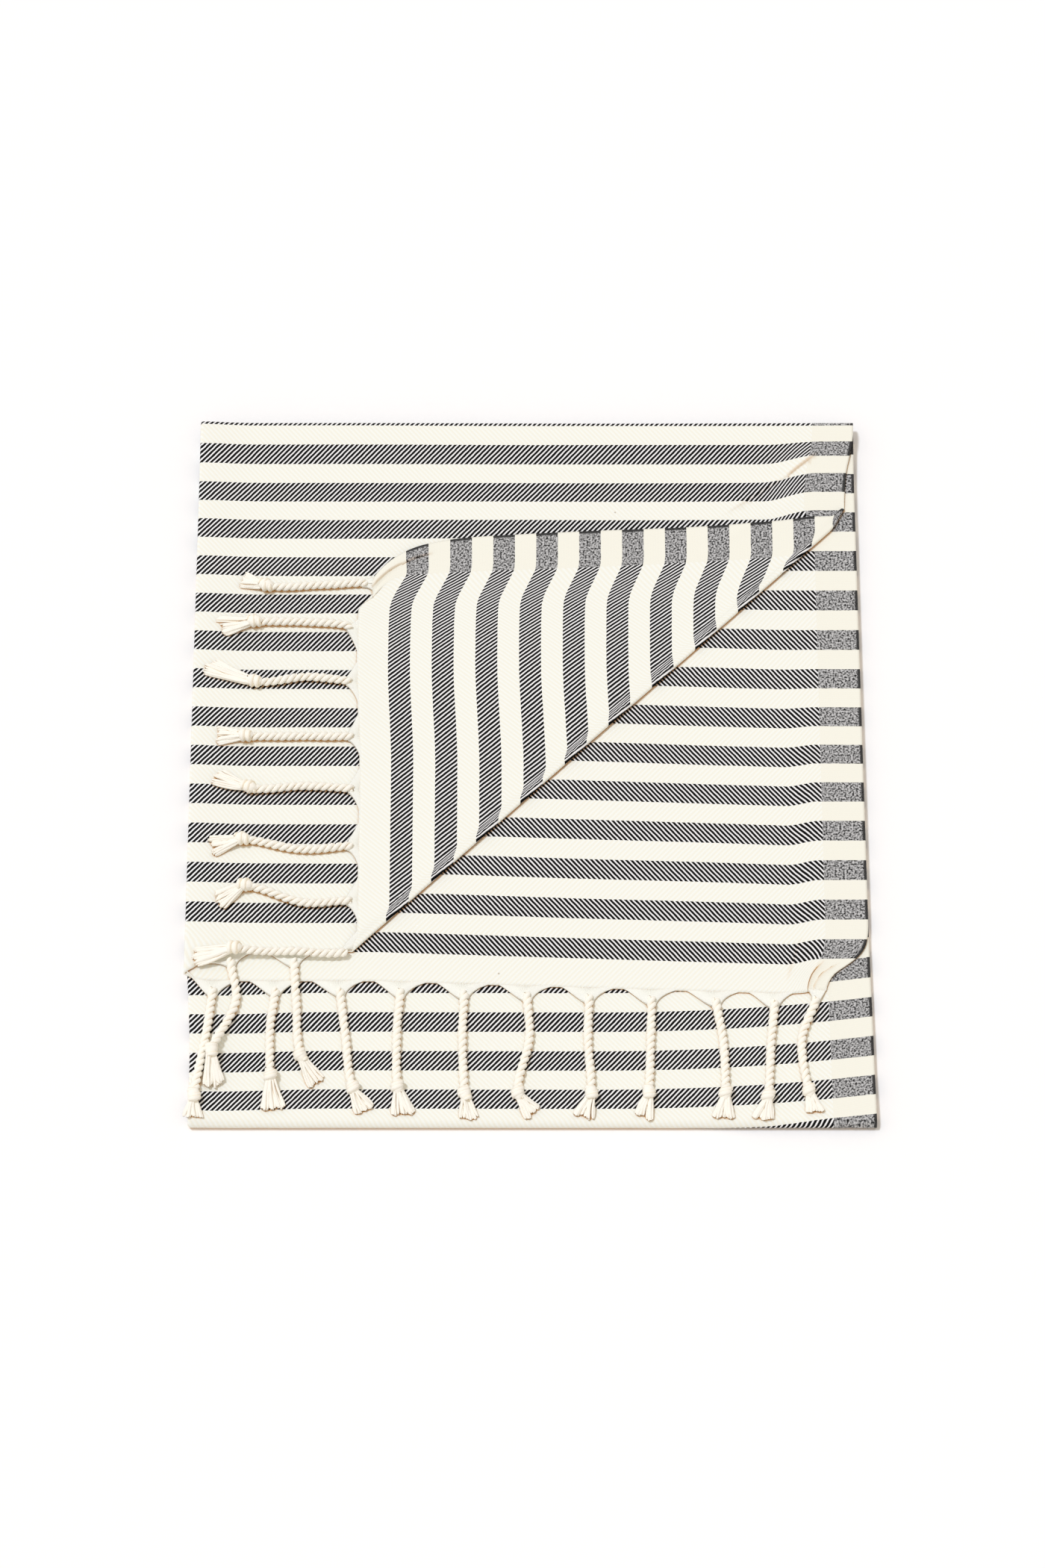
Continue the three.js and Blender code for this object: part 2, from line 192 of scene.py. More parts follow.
# Small shifts of the cloth in its own plane, each by a length, between places where it is gone and whole.
strays = {
    "overDraw": {"by": -9, "aboutY": 213, "reach": 60, "goneX": 150, "wholeX": 240, "backFade": 40},
    "foldDraw": {"goneX": 228, "wholeX": 254, "change": 26},  # overDraw's place beside the corner's fold
    "overKick": {"by": 8.6, "goneU": 432, "wholeU": 476, "backFade": 45},
    "underDroop": {"by": -10, "goneX": -110, "wholeX": 190, "backFade": 270},
    "underKick": {"by": 4, "goneX": 192, "wholeX": 215, "goneY": 120, "wholeY": -60, "endFade": 12},
    "frontShift": {"by": -4.9, "reach": 110, "goneU": 60, "wholeU": 5, "goneY": 0, "wholeY": -90},
    "underPull": {"x": -32, "y": 2.5, "along": 22, "across": 36},
}
halfWidth = towel["width"] / 2
backEdge, frontEdge = towel["foldedLength"] / 2, -towel["foldedLength"] / 2
foldPitch = towel["pitch"] + towel["foldPuff"][0]
backArcY, frontArcY = backEdge - 1.5 * foldPitch, frontEdge + 1.5 * foldPitch  # centres of those folds
arcLength = np.pi * foldPitch
topRun = backArcY - towel["underEndY"]
middleRun = backArcY - frontArcY
middleStart = topRun + arcLength
frontArcStart = middleStart + middleRun
bottomStart = frontArcStart + arcLength
hairpin = np.pi * towel["pitch"] / 4  # half of the cloth's length round the long fold
rollRadius = (towel["pitch"] + turnedCorner["rest"] + turnedCorner["fold"]) / 2
rollLength = np.pi * rollRadius


# Height step between layers: nominal, more near the three folds, gently uneven.
def pitchAt(x, y):
    cx, cy = np.maximum(x, towel["leftEdge"]), np.clip(y, frontArcY, backArcY)
    sidePuff, sideReach = towel["sidePuff"]
    puff, reach = towel["foldPuff"]
    step = towel["pitch"] + sidePuff * bell(cx - towel["leftEdge"], sideReach)
    step = step + puff * (bell(cy - backArcY, reach) + bell(cy - frontArcY, reach))
    return step + towel["pitchWave"] * wave(cx, *towel["pitchWaveX"]) * wave(cy, *towel["pitchWaveY"])


# Path along the length: q is distance from the woven end, side is -0.5 under to 0.5 over.
# Straight runs at layers 4.5, 2.5 and 0.5 are joined by half circles one layer step in radius.
def alongPath(q, side):
    backTurn = np.pi * (q - topRun) / arcLength
    frontTurn = np.pi * (q - frontArcStart) / arcLength
    runs = [q < topRun, q < middleStart, q < frontArcStart, q < bottomStart]
    y = np.select(runs, [
        towel["underEndY"] + q,
        backArcY + foldPitch * (1 + side) * np.sin(backTurn),
        backArcY - (q - middleStart),
        frontArcY - foldPitch * (1 - side) * np.sin(frontTurn),
    ], frontArcY + (q - bottomStart))
    layer = np.select(runs, [
        4.5 + side,
        3.5 + (1 + side) * np.cos(backTurn),
        2.5 - side,
        1.5 + (1 - side) * np.cos(frontTurn),
    ], 0.5 + side)
    run = np.select(runs, [0, 1, 2, 3], 4)
    return run, y, layer


# Signed distance past the turned corner's fold, at 45 degrees.
def pastFold(x, y):
    return (x - y + towel["foldOffset"]) / np.sqrt(2)


# Soft low ridges and troughs of the faces that show, upward only. A wave is its length, and its phase
# where it has one; bend is in radians.
relief = {
    "over": {"swell": 0.35, "waveX": 33, "bend": 0.8, "bendY": 51, "waveY": (44, 0.5), "fromX": (-249, -225)},
    # a faint old fold of the upper half: it lies off to the right of a line at a place, with a direction
    "oldFold": {
        "height": 0.5,
        "reach": 3,
        "at": (201, 247),
        "ahead": (0.813, 0.583),
        "bend": 0.01,
        "off": 16,
        "starts": (-120, -60),
        "ends": (10, -20),
    },
    "under": {"swell": 0.3, "waveX": (29, 0.4), "waveY": (37, 1.3), "fromY": (-180, -150)},
    "underPastFold": (4.5, 6),  # it begins this far past the corner's fold
    "turned": {"swell": 0.45, "waveX": 37, "skew": 61, "waveY": (41, -0.7)},
    "bundle": (2.0, 6, 18),  # at the gathered corner: height, distance from the selvedge, how far it runs
    "selvedgeRipple": (0.4, 14, 23, 0.6),  # height, reach in, length and phase
    "endRipple": (0.35, 12, 7.3),
}


# Relief of the upper half: an old fold that fades at both ends, and a swell of two crossed waves.
def reliefOver(x, y):
    fold, over = relief["oldFold"], relief["over"]
    (atX, atY), (aheadX, aheadY) = fold["at"], fold["ahead"]
    along = aheadX * (x - atX) + aheadY * (y - atY)
    off = -aheadY * (x - atX) + aheadX * (y - atY) - fold["bend"] * np.maximum(0, along) ** 2
    ridge = fold["height"] * bell(off + fold["off"], fold["reach"])
    ridge = ridge * ease(*fold["starts"], along) * ease(*fold["ends"], along)
    bent = wave(x, over["waveX"], over["bend"] * wave(y, over["bendY"]))
    swell = over["swell"] * (1 + bent * wave(y, *over["waveY"]))
    return ridge + swell * ease(*over["fromX"], x)


# Relief of the under half: a swell of two crossed waves, away from the woven end.
def reliefUnder(x, y):
    under = relief["under"]
    swell = under["swell"] * (1 + wave(x, *under["waveX"]) * wave(y, *under["waveY"]))
    return swell * ease(*under["fromY"], y)


# Relief of the turned corner: a bundle that runs to the gathered corner, a swell of two crossed waves,
# and ripples along the selvedge and the woven end.
def reliefTurned(u, v, x, y):
    turned = relief["turned"]
    fromSelvedge = halfWidth - u
    height, at, along = relief["bundle"]
    bundle = height * bell(fromSelvedge - at, at) * np.exp(-v / along)
    swell = turned["swell"] * (1 + wave(x, turned["waveX"], y / turned["skew"]) * wave(y, *turned["waveY"]))
    height, reach, length, phase = relief["selvedgeRipple"]
    alongSelvedge = height * bell(fromSelvedge, reach) * (1 + wave(v, length, phase))
    height, reach, length = relief["endRipple"]
    alongEnd = height * bell(v, reach) * (1 + wave(u, length))
    return bundle + swell + (alongSelvedge + alongEnd)


# Creases, each a straight line on the cloth as it first lies: a low ridge, steep on one side and gentle
# on the other (gentle above 0 is to the left of the line), that fades at both ends. Line is the strength
# of the warm line of painted shade at its foot.
creaseColumns = ("u", "v", "toU", "toV", "height", "gentle", "line")
creaseTable = [
    (449.5, 404.4, 475, 428, 1.5, 7, 0.45),
    (398, 372, 458, 411, 0.9, 9, 0.12),
    (-474, -2, -474, 24, 1.6, 7, 0.35),
    (-441, 8, -451, 46, 0.8, 9, 0.2),
    (-486, -2, -492, 20, 1.0, 4, 0.3),
    (494, 4, 488.5, 34, 1.5, -9, 0.3),
    (488.5, 27, 490.5, 53, 1.3, -8, 0.3),
]
creases = [dict(zip(creaseColumns, row)) for row in creaseTable]
creaseShape = {
    "steep": 0.8,  # reach of the steep side
    "fades": (0.3, 0.7),  # shares of the length between which the ridge is whole
    "lineOff": 0.5,  # how far down the steep side the warm line of painted shade lies, and its reach
    "lineReach": 1.1,
    "lineFades": (0.25, 0.75),
    "cuts": (-1.3, -0.6, 0, 1.6, 4),  # the grid is cut at these distances from the line
    "cutReach": 9,  # faces are cut whose middle is this near, and in this share of the length each way
    "cutShare": 0.65,
}


# Distance across a crease (above 0 to its left) and share of the way along it.
def acrossCrease(crease, u, v):
    run = np.array([crease["toU"] - crease["u"], crease["toV"] - crease["v"]])
    length = np.hypot(*run)
    aheadU, aheadV = run / length
    offU, offV = u - crease["u"], v - crease["v"]
    return aheadU * offV - aheadV * offU, (aheadU * offU + aheadV * offV) / length


# Sum of the ridges: each falls by e to the minus distance on its gentle side and as a bell on the other.
def creaseRelief(u, v):
    total = 0 * u
    starts, ends = creaseShape["fades"]
    for crease in creases:
        off, along = acrossCrease(crease, u, v)
        off = off * np.sign(crease["gentle"])
        slope = np.exp(-np.maximum(0, off) / abs(crease["gentle"]))
        slope = slope * bell(np.minimum(0, off), creaseShape["steep"])
        total = total + crease["height"] * slope * ease(0, starts, along) * ease(1, ends, along)
    return total


# Painted shade: a warm line at the foot of each crease's steep side, as a bell; the strongest one counts.
def creaseShadeLine(u, v):
    total = 0 * u
    starts, ends = creaseShape["lineFades"]
    for crease in creases:
        off, along = acrossCrease(crease, u, v)
        off = off * np.sign(crease["gentle"])
        line = crease["line"] * bell(off + creaseShape["lineOff"], creaseShape["lineReach"])
        total = np.maximum(total, line * ease(0, starts, along) * ease(1, ends, along))
    return total


# How far the stripes of the upper half rise towards its selvedge: an eased step in u, which fades
# before the back fold.
def kickAt(u, v):
    kick = strays["overKick"]
    end = topRun - towel["slip"]
    return kick["by"] * ease(kick["goneU"], kick["wholeU"], u) * ease(end, end - kick["backFade"], v)


# Distance along the path at (u, v): v, plus the upper half's slip, less the creep round the near fold.
def alongAt(u, v):
    across, creep = towel["slipAcross"], towel["frontCreep"]
    centre = across["atEnd"] + (across["further"] - across["atEnd"]) * ease(0, across["from"], v)
    slip = towel["slip"] * ease(centre - across["half"], centre + across["half"], u)
    slip = slip * ease(across["gone"], across["whole"], v)
    flatX = towel["leftEdge"] + np.abs(u)
    share = np.maximum(0, flatX - creep["rightFrom"]) / creep["rightOver"]
    right = creep["right"] * share ** creep["power"]
    left = creep["left"] * ease(creep["leftFrom"], creep["leftTo"], flatX)
    return v + slip - (right + left) * ease(*creep["starts"], v) * ease(*creep["ends"], v)


# x of the upper half on its top run: its stripes are drawn to the left about one y; s is the distance
# past the corner's fold.
def strayOver(x, y, s, over):
    draw, fold = strays["overDraw"], strays["foldDraw"]
    flatShare = ease(draw["goneX"], draw["wholeX"], x)
    foldShare = ease(fold["goneX"], fold["wholeX"], x)
    share = flatShare + (foldShare - flatShare) * ease(-fold["change"], 0, s)
    shift = over * draw["by"] * bell(y - draw["aboutY"], draw["reach"]) * share
    return x + shift * ease(backArcY, backArcY - draw["backFade"], y)


# x and y of the under half on its top run: it droops evenly to the right, rises again beside the
# selvedge, and its corner is pulled to the left.
def strayUnder(u, v, x, y, under):
    droop, kick, pull = strays["underDroop"], strays["underKick"], strays["underPull"]
    share = np.clip((x - droop["goneX"]) / (droop["wholeX"] - droop["goneX"]), 0, 1)
    y = y + under * droop["by"] * share * ease(backArcY, backArcY - droop["backFade"], y)
    rise = under * kick["by"] * ease(kick["goneX"], kick["wholeX"], x)
    y = y + rise * ease(kick["goneY"], kick["wholeY"], y) * ease(0, kick["endFade"], v)
    share = under * bell(v, pull["along"]) * bell(halfWidth + u, pull["across"])
    return x + pull["x"] * share, y + pull["y"] * share


# y of the middle run where it shows: it is shifted towards the near fold, evenly more with distance
# from it, and not at all further back.
def strayFront(u, y, run):
    front = strays["frontShift"]
    shown = (run == 2) * ease(front["goneU"], front["wholeU"], u)
    share = np.clip((y - frontArcY) / front["reach"], 0, 1)
    return y + shown * front["by"] * share * ease(front["goneY"], front["wholeY"], y)


# x and y of the turned corner: it drifts, leans and settles along x, sags along y, and its gathered
# corner is pulled. Settled is 0 at its fold and 1 further behind it.
def strayTurned(u, v, x, y, turned, settled):
    drift, sag, lean = turnedCorner["drift"], turnedCorner["sag"], turnedCorner["lean"]
    settle, pull = turnedCorner["settle"], turnedCorner["pull"]
    share = np.clip((sag["fromX"] - x) / (sag["fromX"] - sag["toX"]), 0, 1) ** sag["power"]
    sagging = sag["depth"] * share * bell(np.maximum(0, halfWidth - u - sag["band"]), sag["reach"])
    leaning = lean["by"] * np.exp(-np.maximum(0, halfWidth - u - lean["band"]) / lean["fades"])
    leaning = leaning * (1 - (x - lean["aboutX"]) / lean["far"])
    leaning = leaning + settle["by"] * ease(settle["fromY"], settle["toY"], y)
    gathered = bell(halfWidth - u, pull["across"] * (1 + np.exp(-v / pull["flare"])))
    gathered = turned * np.exp(-v / pull["along"]) * gathered
    free = turned * settled
    x = x + free * (drift["x"] + leaning) + pull["x"] * gathered
    y = y + free * (drift["y"] - sagging) + pull["y"] * gathered
    return x, y


# Place of the cloth's middle at (u, v): the path gives y and layer, the long fold a half circle
# in x and layer, the corner is rolled back over its fold, then strays shift it in its plane.
def layCloth(u, v):
    q = alongAt(u, v)
    turn = np.pi / 2 * np.clip(u / hairpin, -1, 1)
    side = 0.5 * np.sin(turn)
    run, y, layer = alongPath(q, side)
    radius = pitchAt(towel["leftEdge"], alongPath(q, 0 * q)[1]) / 2
    beyond = np.maximum(0, np.abs(u) - hairpin)
    insetFold, insetKeep, insetFrom, insetTo = towel["lowerInset"]
    inset = (run > 0) * insetFold * ease(insetFrom, insetTo, y)
    inset = inset * (1 - (1 - insetKeep) * beyond / halfWidth)
    x = towel["leftEdge"] + inset + radius * (1 - np.cos(turn)) + beyond
    y = y + kickAt(u, v)

    onTop = run == 0
    over, under = onTop & (u > 0), onTop & (u < 0)
    unturned = -towel["width"]  # well before the fold, for all cloth that can't turn
    s = np.where(onTop & (u > hairpin), pastFold(x, y), unturned)
    turned = s > 0
    roll = np.clip(s / rollRadius, 0, np.pi)
    behind = np.maximum(0, s - rollLength)
    sideways = np.where(turned, rollRadius * np.sin(roll) - behind - s, 0)
    rise = np.where(turned, (1 - np.cos(roll)) / 2, 0)
    x, y = x + sideways / np.sqrt(2), y - sideways / np.sqrt(2)
    settled = ease(0, turnedCorner["drift"]["over"], behind)

    x = strayOver(x, y, s, over)
    x, y = strayUnder(u, v, x, y, under)
    y = strayFront(u, y, run)
    x, y = strayTurned(u, v, x, y, turned, settled)

    step = pitchAt(x, y)
    lift = turnedCorner["rest"] + turnedCorner["fold"] * bell(behind, turnedCorner["foldReach"])
    lift = lift + turnedCorner["wave"] * wave(x, *turnedCorner["waveX"]) * wave(y, *turnedCorner["waveY"])
    z = towel["thickness"] / 2 + layer * step + rise * (step + lift)
    clear = ease(*relief["underPastFold"], pastFold(x, y))
    z = z + over * reliefOver(x, y) + under * reliefUnder(x, y) * clear
    z = z + rise * settled * reliefTurned(u, v, x, y)
    z = z + np.where(onTop, creaseRelief(u, v + kickAt(u, v)), 0)
    return np.stack([x, y, z], -1)


grid = {
    "cell": 5.4,  # across, and along where it shows
    "bandFrom": 440,  # finer from here to the selvedge
    "bandCell": 4.0,
    "edgeFrom": 480,  # finer still beside the selvedge
    "edgeCell": 1.8,
    "endLength": 52,  # finer beside the woven end that shows
    "endCell": 2.6,
    "hidden": 18,  # where no one sees it
    "hairpinCells": 8,
    "backArcCells": 24,
    "backArcLead": (10, 6),  # the even cells stop and the fold's begin this far before the back fold
    "lead": 4,  # gap between other stretches of the grid
    "frontArcCell": 1.2,
    "pastFrontArc": (12, 16),  # the near fold's cells stop and the hidden ones begin this far past it
    "frontShown": 150,  # length of the middle run that shows
    "foldCuts": 9,
    "foldCutReach": 20,  # faces this near the corner's fold are cut
    "foldCutFromU": 40,
    "cutSnap": 1e-4,  # a cut this near a corner goes through it
    "unkickRounds": 6,
}


# Even steps from start to end, each close to cell long.
def evenSteps(start, end, cell):
    return np.linspace(start, end, max(2, int(round(abs(end - start) / cell)) + 1))


# The grid's lines across and along the flat cloth, closer where folds and edges show.
def gridSteps():
    outward = np.unique(np.concatenate([
        evenSteps(hairpin, grid["bandFrom"], grid["cell"]),
        evenSteps(grid["bandFrom"], grid["edgeFrom"], grid["bandCell"]),
        evenSteps(grid["edgeFrom"], halfWidth, grid["edgeCell"]),
    ]))
    across = np.concatenate([
        -outward[::-1],
        np.linspace(-hairpin, hairpin, grid["hairpinCells"] + 1),
        outward,
    ])
    backArcStart = topRun - towel["slip"]
    evenUntil, arcFrom = grid["backArcLead"]
    arcUntil, hiddenFrom = grid["pastFrontArc"]
    shownFrom = frontArcStart - grid["frontShown"]
    along = np.concatenate([
        evenSteps(0, grid["endLength"], grid["endCell"]),
        evenSteps(grid["endLength"], backArcStart - evenUntil, grid["cell"]),
        np.linspace(backArcStart - arcFrom, middleStart, grid["backArcCells"]),
        evenSteps(middleStart + grid["lead"], shownFrom, grid["hidden"]),
        evenSteps(shownFrom + grid["cell"], frontArcStart - grid["lead"], grid["cell"]),
        evenSteps(frontArcStart, bottomStart + arcUntil, grid["frontArcCell"]),
        evenSteps(bottomStart + hiddenFrom, towel["length"], grid["hidden"]),
    ])
    return np.unique(across.round(4)), np.unique(along.round(4))


# Cuts the chosen faces of a flat grid along parallel lines, each level further along normal.
def cutAlong(cutMesh, start, normal, levels, chosen):
    middles = np.array([face.calc_center_median()[:2] for face in cutMesh.faces])
    picked = chosen(middles[:, 0], middles[:, 1])
    faces = [face for face, wanted in zip(cutMesh.faces, picked) if wanted]
    geometry = list({e for f in faces for e in f.edges} | {p for f in faces for p in f.verts}) + faces
    for level in levels:
        cut = bmesh.ops.bisect_plane(
            cutMesh, geom=geometry, dist=grid["cutSnap"], plane_co=start + normal * level, plane_no=normal)
        geometry = cut["geom"]


# Cuts the flat grid along the corner's fold, where u - v + offset is 0.
def cutCornerFold(cutMesh):
    offset = (towel["leftEdge"] + towel["pitch"] / 2 + towel["sidePuff"][0] / 2 - hairpin
              - towel["underEndY"] - towel["slip"] + towel["foldOffset"])
    normal = np.array([1, -1, 0]) / np.sqrt(2)
    runEnd = topRun - towel["slip"] - grid["backArcLead"][0]

    # places beside the fold, on the upper half's top run
    def nearFold(u, v):
        return (u > grid["foldCutFromU"]) & (v < runEnd) & (np.abs(u - v + offset) < grid["foldCutReach"])

    levels = np.linspace(0, rollLength, grid["foldCuts"])
    cutAlong(cutMesh, -normal * offset / np.sqrt(2), normal, levels, nearFold)


# Whether a place is near a crease: by distance across it, and by share along it from its middle.
def nearCrease(crease, u, v):
    off, along = acrossCrease(crease, u, v)
    return (np.abs(off) < creaseShape["cutReach"]) & (np.abs(along - 0.5) < creaseShape["cutShare"])


# Cuts the flat grid along each crease, on both sides of its line.
def cutCreases(cutMesh):
    for crease in creases:
        ahead = np.array([crease["toU"] - crease["u"], crease["toV"] - crease["v"], 0.0])
        ahead /= np.linalg.norm(ahead)
        normal = np.array([-ahead[1], ahead[0], 0]) * np.sign(crease["gentle"])
        start = np.array([crease["u"], crease["v"], 0])
        cutAlong(cutMesh, start, normal, creaseShape["cuts"], lambda u, v: nearCrease(crease, u, v))


# Flat grid in u and v + kickAt(u, v), cut along the corner's fold and the creases.
def flatCloth():
    across, along = gridSteps()
    u, v = np.meshgrid(across, along, indexing="ij")
    nu, nv = u.shape
    first = (np.arange(nu - 1)[:, None] * nv + np.arange(nv - 1)).ravel()
    quads = np.stack([first, first + nv, first + nv + 1, first + 1], 1)
    flat = bpy.data.meshes.new("flatCloth")
    flat.from_pydata(np.stack([u, v + kickAt(u, v), 0 * u], -1).reshape(-1, 3).tolist(), [], quads.tolist())
    cutMesh = bmesh.new()
    cutMesh.from_mesh(flat)
    cutCornerFold(cutMesh)
    cutCreases(cutMesh)
    cutMesh.to_mesh(flat)
    cutMesh.free()
    return flat


# The flat grid laid by layCloth. Its UV is (u, v) in metres, and an attribute says how much painted shade
# lies at the foot of each crease.
def weaveCloth():
    flat = flatCloth()
    places = np.zeros(len(flat.vertices) * 3)
    flat.vertices.foreach_get("co", places)
    u, lying = places.reshape(-1, 3)[:, :2].T
    v = lying
    for _ in range(grid["unkickRounds"]):  # v from v + kickAt(u, v), closer each round
        v = lying - kickAt(u, v)
    corners = np.zeros(len(flat.loops), np.int32)
    flat.loops.foreach_get("vertex_index", corners)
    layer = flat.uv_layers.new(name="clothPlace")
    layer.data.foreach_set("uv", (np.stack([u, v], -1)[corners] * mm).astype(np.float32).ravel())
    laid = layCloth(u, v) * mm
    flat.vertices.foreach_set("co", laid.astype(np.float32).ravel())
    line = flat.attributes.new("creaseShadeLine", "FLOAT", "POINT")
    line.data.foreach_set("value", creaseShadeLine(u, lying).astype(np.float32))
    flat.shade_smooth()
    flat.update()
    piece = addObject("woven_cloth", flat)
    solid = piece.modifiers.new("cloth thickness", "SOLIDIFY")
    solid.thickness = towel["thickness"] * mm
    solid.offset = 0
    return piece


cloth = weaveCloth()
print("cloth woven and folded:", len(cloth.data.polygons), "faces a side")

fringe = {
    "under": (11, -22, -45.5),  # tassels, first root, step
    "over": (10, 33, 46.1),
    "cornerRoot": 494,  # the outermost one of each half gathers the corner
    "rootIn": 1.5,  # how far in from the woven end each root lies
    "webDepth": 13,  # how far the warp runs before it is all in the cord
    "cornerWebDepth": 9,
    "webReach": 22.4,  # half the length of woven end that each tassel gathers
    "restGap": 0.35,  # between a tassel and what it lies on
    "stepDown": (12, 4),  # past the under half's end, where a tassel is down on the next layer, and still up
    "backFlat": 0.29,  # share of its height that a back tassel keeps under the layers above
}
# Each front tassel, from its root: how far it strays sideways where the cord begins and at mid cord, its
# length to the knot and the stray there, and its whole length and the stray at its tip. The list runs
# from the under half's corner to the upper half's.
tasselColumns = ("start", "bow", "knot", "drift", "tip", "swing")
tasselTable = [
    (4, 14, 84, 10, 102, 4),
    (1, 4, 86, 7, 105, 12),
    (-1.5, -6, 85, -7, 106, -5),
    (0, 1, 86, 3, 107, 7),
    (0, 1, 88, -1, 108, 5),
    (-0.5, -2, 90, 6, 110, -9),
    (0, 1, 92, -1, 112, -5),
    (1, 3, 88, 2, 111, -4),
    (-1, -5, 89, -11, 110, -24),
    (1, 4, 79, 3, 108, 0),
    (1, 5, 96, 12, 114, 10),
    (1, 5, 84, -11, 112, -9),
    (1, 3, 86, 7, 112, 22),
    (-5, -5, 88, -4, 119, -9),
    (-0.5, -2, 84, 11, 108, -4),
    (-1, -4, 87, 4, 112, -2),
    (1, 3, 83, 1, 112, 13),
    (-1, -1, 86, -1, 108, 1),
    (1, 4, 78, 0, 118, 16),
    (7, 10, 79, 10, 107, 5),
    (0, -2, 82, -3, 103, 6),
]
tasselRows = [dict(zip(tasselColumns, row)) for row in tasselTable]
backRow = {"start": 0, "bow": 0, "knot": 82, "drift": 0, "tip": 104, "swing": 0}
# Places where a front tassel (counted from 0) lies over another one's cord or root, and rises.
crossingColumns = ("tassel", "x", "y", "reach", "height")
crossingTable = [
    (11, -229, -242, 22, 4.8),
    (13, -217, -160, 15, 4.2),
    (13, -171, -160, 14, 2.6),
]
crossings = [dict(zip(crossingColumns, row)) for row in crossingTable]
# How finely a tassel is made; the hidden ones at the back are plainer.
frontDetail = {
    "webDepth": fringe["webDepth"],
    "warpYarns": 37,
    "fanSteps": 9,
    "turnSteps": 13,
    "wrapSteps": 30,
    "sides": 8,
    "ends": 30,
}
cornerDetail = {**frontDetail, "webDepth": fringe["cornerWebDepth"]}
backDetail = {
    "webDepth": fringe["webDepth"],
    "warpYarns": 15,
    "fanSteps": 6,
    "turnSteps": 8,
    "wrapSteps": 14,
    "sides": 6,
    "ends": 14,
}


# Vertices, faces and UVs gathered from many small meshes, then made one object.
class Parts:
    def __init__(self):
        self.points, self.faces, self.uvs, self.count = [], [], [], 0

    # Faces count their vertices within points; uv has a row for each point.
    def add(self, points, faces, uv):
        self.points.append(points.reshape(-1, 3))
        self.uvs.append(uv.reshape(-1, 2)[faces.ravel()])
        self.faces.append(faces + self.count)
        self.count += len(points.reshape(-1, 3))

    def build(self, name):
        mesh = bpy.data.meshes.new(name)
        points = np.concatenate(self.points) * mm
        faces = np.concatenate(self.faces)
        mesh.from_pydata(points.tolist(), [], faces.tolist())
        layer = mesh.uv_layers.new(name="yarnPlace")
        layer.data.foreach_set("uv", np.concatenate(self.uvs).astype(np.float32).ravel())
        mesh.shade_smooth()
        mesh.update()
        return addObject(name, mesh)


warpAround = 2.0  # the second UV of all warp yarns; on the others it runs from 0 to 1 round the yarn


# Tubes along paths (tubes, steps, 3): rings of sides points square to each path, radius by
# (tubes, steps). Each ring starts across the path and the reference, which keeps it from turning.
def addTubes(parts, paths, radii, sides, reference, isWarp=False):
    tubes, steps, _ = paths.shape
    tiny = 1e-9  # so that nothing is divided by 0
    tangent = np.gradient(paths, axis=1)
    tangent /= np.linalg.norm(tangent, axis=-1, keepdims=True) + tiny
    across = np.cross(tangent, reference)
    across /= np.linalg.norm(across, axis=-1, keepdims=True) + tiny
    above = np.cross(across, tangent)
    angle = 2 * np.pi * np.arange(sides) / sides
    ring = (across[:, :, None] * np.cos(angle)[:, None] + above[:, :, None] * np.sin(angle)[:, None])
    points = paths[:, :, None] + ring * radii[:, :, None, None]
    index = np.arange(tubes * steps * sides).reshape(tubes, steps, sides)
    a, b = index[:, :-1], index[:, 1:]
    faces = np.stack([a, np.roll(a, -1, 2), np.roll(b, -1, 2), b], -1).reshape(-1, 4)
    length = np.cumsum(np.linalg.norm(np.diff(paths, axis=1, prepend=paths[:, :1]), axis=-1), axis=1)
    around = np.full(sides, warpAround) if isWarp else angle / (2 * np.pi)
    uv = np.stack(np.broadcast_arrays(length[:, :, None] * mm, around), -1)
    parts.add(points, faces, uv)


# Smooth curve through stations (n, columns) at parameter t from 0 to 1: between two stations a cubic
# whose slope at each is that of the line between its neighbours (Catmull-Rom).
def throughStations(stations, t):
    padded = np.vstack([2 * stations[0] - stations[1], stations, 2 * stations[-1] - stations[-2]])
    far = padded[:, 0]
    target = stations[0, 0] + t * (stations[-1, 0] - stations[0, 0])
    i = np.clip(np.searchsorted(far, target, side="right") - 1, 1, len(stations) - 1)
    p0, p1, p2, p3 = padded[i - 1], padded[i], padded[i + 1], padded[i + 2]
    k = ((target - far[i]) / (far[i + 1] - far[i]))[:, None]
    m1 = (p2 - p0) / (p2[:, :1] - p0[:, :1]) * (p2[:, :1] - p1[:, :1])
    m2 = (p3 - p1) / (p3[:, :1] - p1[:, :1]) * (p2[:, :1] - p1[:, :1])
    return ((2 * k**3 - 3 * k**2 + 1) * p1 + (k**3 - 2 * k**2 + k) * m1
            + (-2 * k**3 + 3 * k**2) * p2 + (k**3 - k**2) * m2)


# u of every tassel's root: even steps on each half, with the outermost at its corner.
def rootsAcross():
    count, first, step = fringe["under"]
    under = first + step * np.arange(count)[::-1]
    under[0] = -fringe["cornerRoot"]
    count, first, step = fringe["over"]
    over = first + step * np.arange(count)
    over[-1] = fringe["cornerRoot"]
    return np.concatenate([under, over])


# Top of what a tassel lies on at (x, y): layer 5 beside the turned corner, else 3, or 4 over the
# under half's end.
def restTop(x, y, onCorner, over):
    step = pitchAt(x, y)
    down, up = fringe["stepDown"]
    layer = np.where(onCorner, 5.0, 3 + over * ease(towel["underEndY"] - down, towel["underEndY"] - up, y))
    return towel["thickness"] + layer * step + np.where(onCorner, reliefOver(x, y), 0)


# Extra height of a tassel at (x, y) over the cords that it crosses: a bell round each crossing.
def crossingRise(tassel, x, y):
    total = 0 * x
    for crossing in crossings:
        if crossing["tassel"] == tassel:
            distance = np.hypot(x - crossing["x"], y - crossing["y"])
            total = total + crossing["height"] * bell(distance, crossing["reach"])
    return total


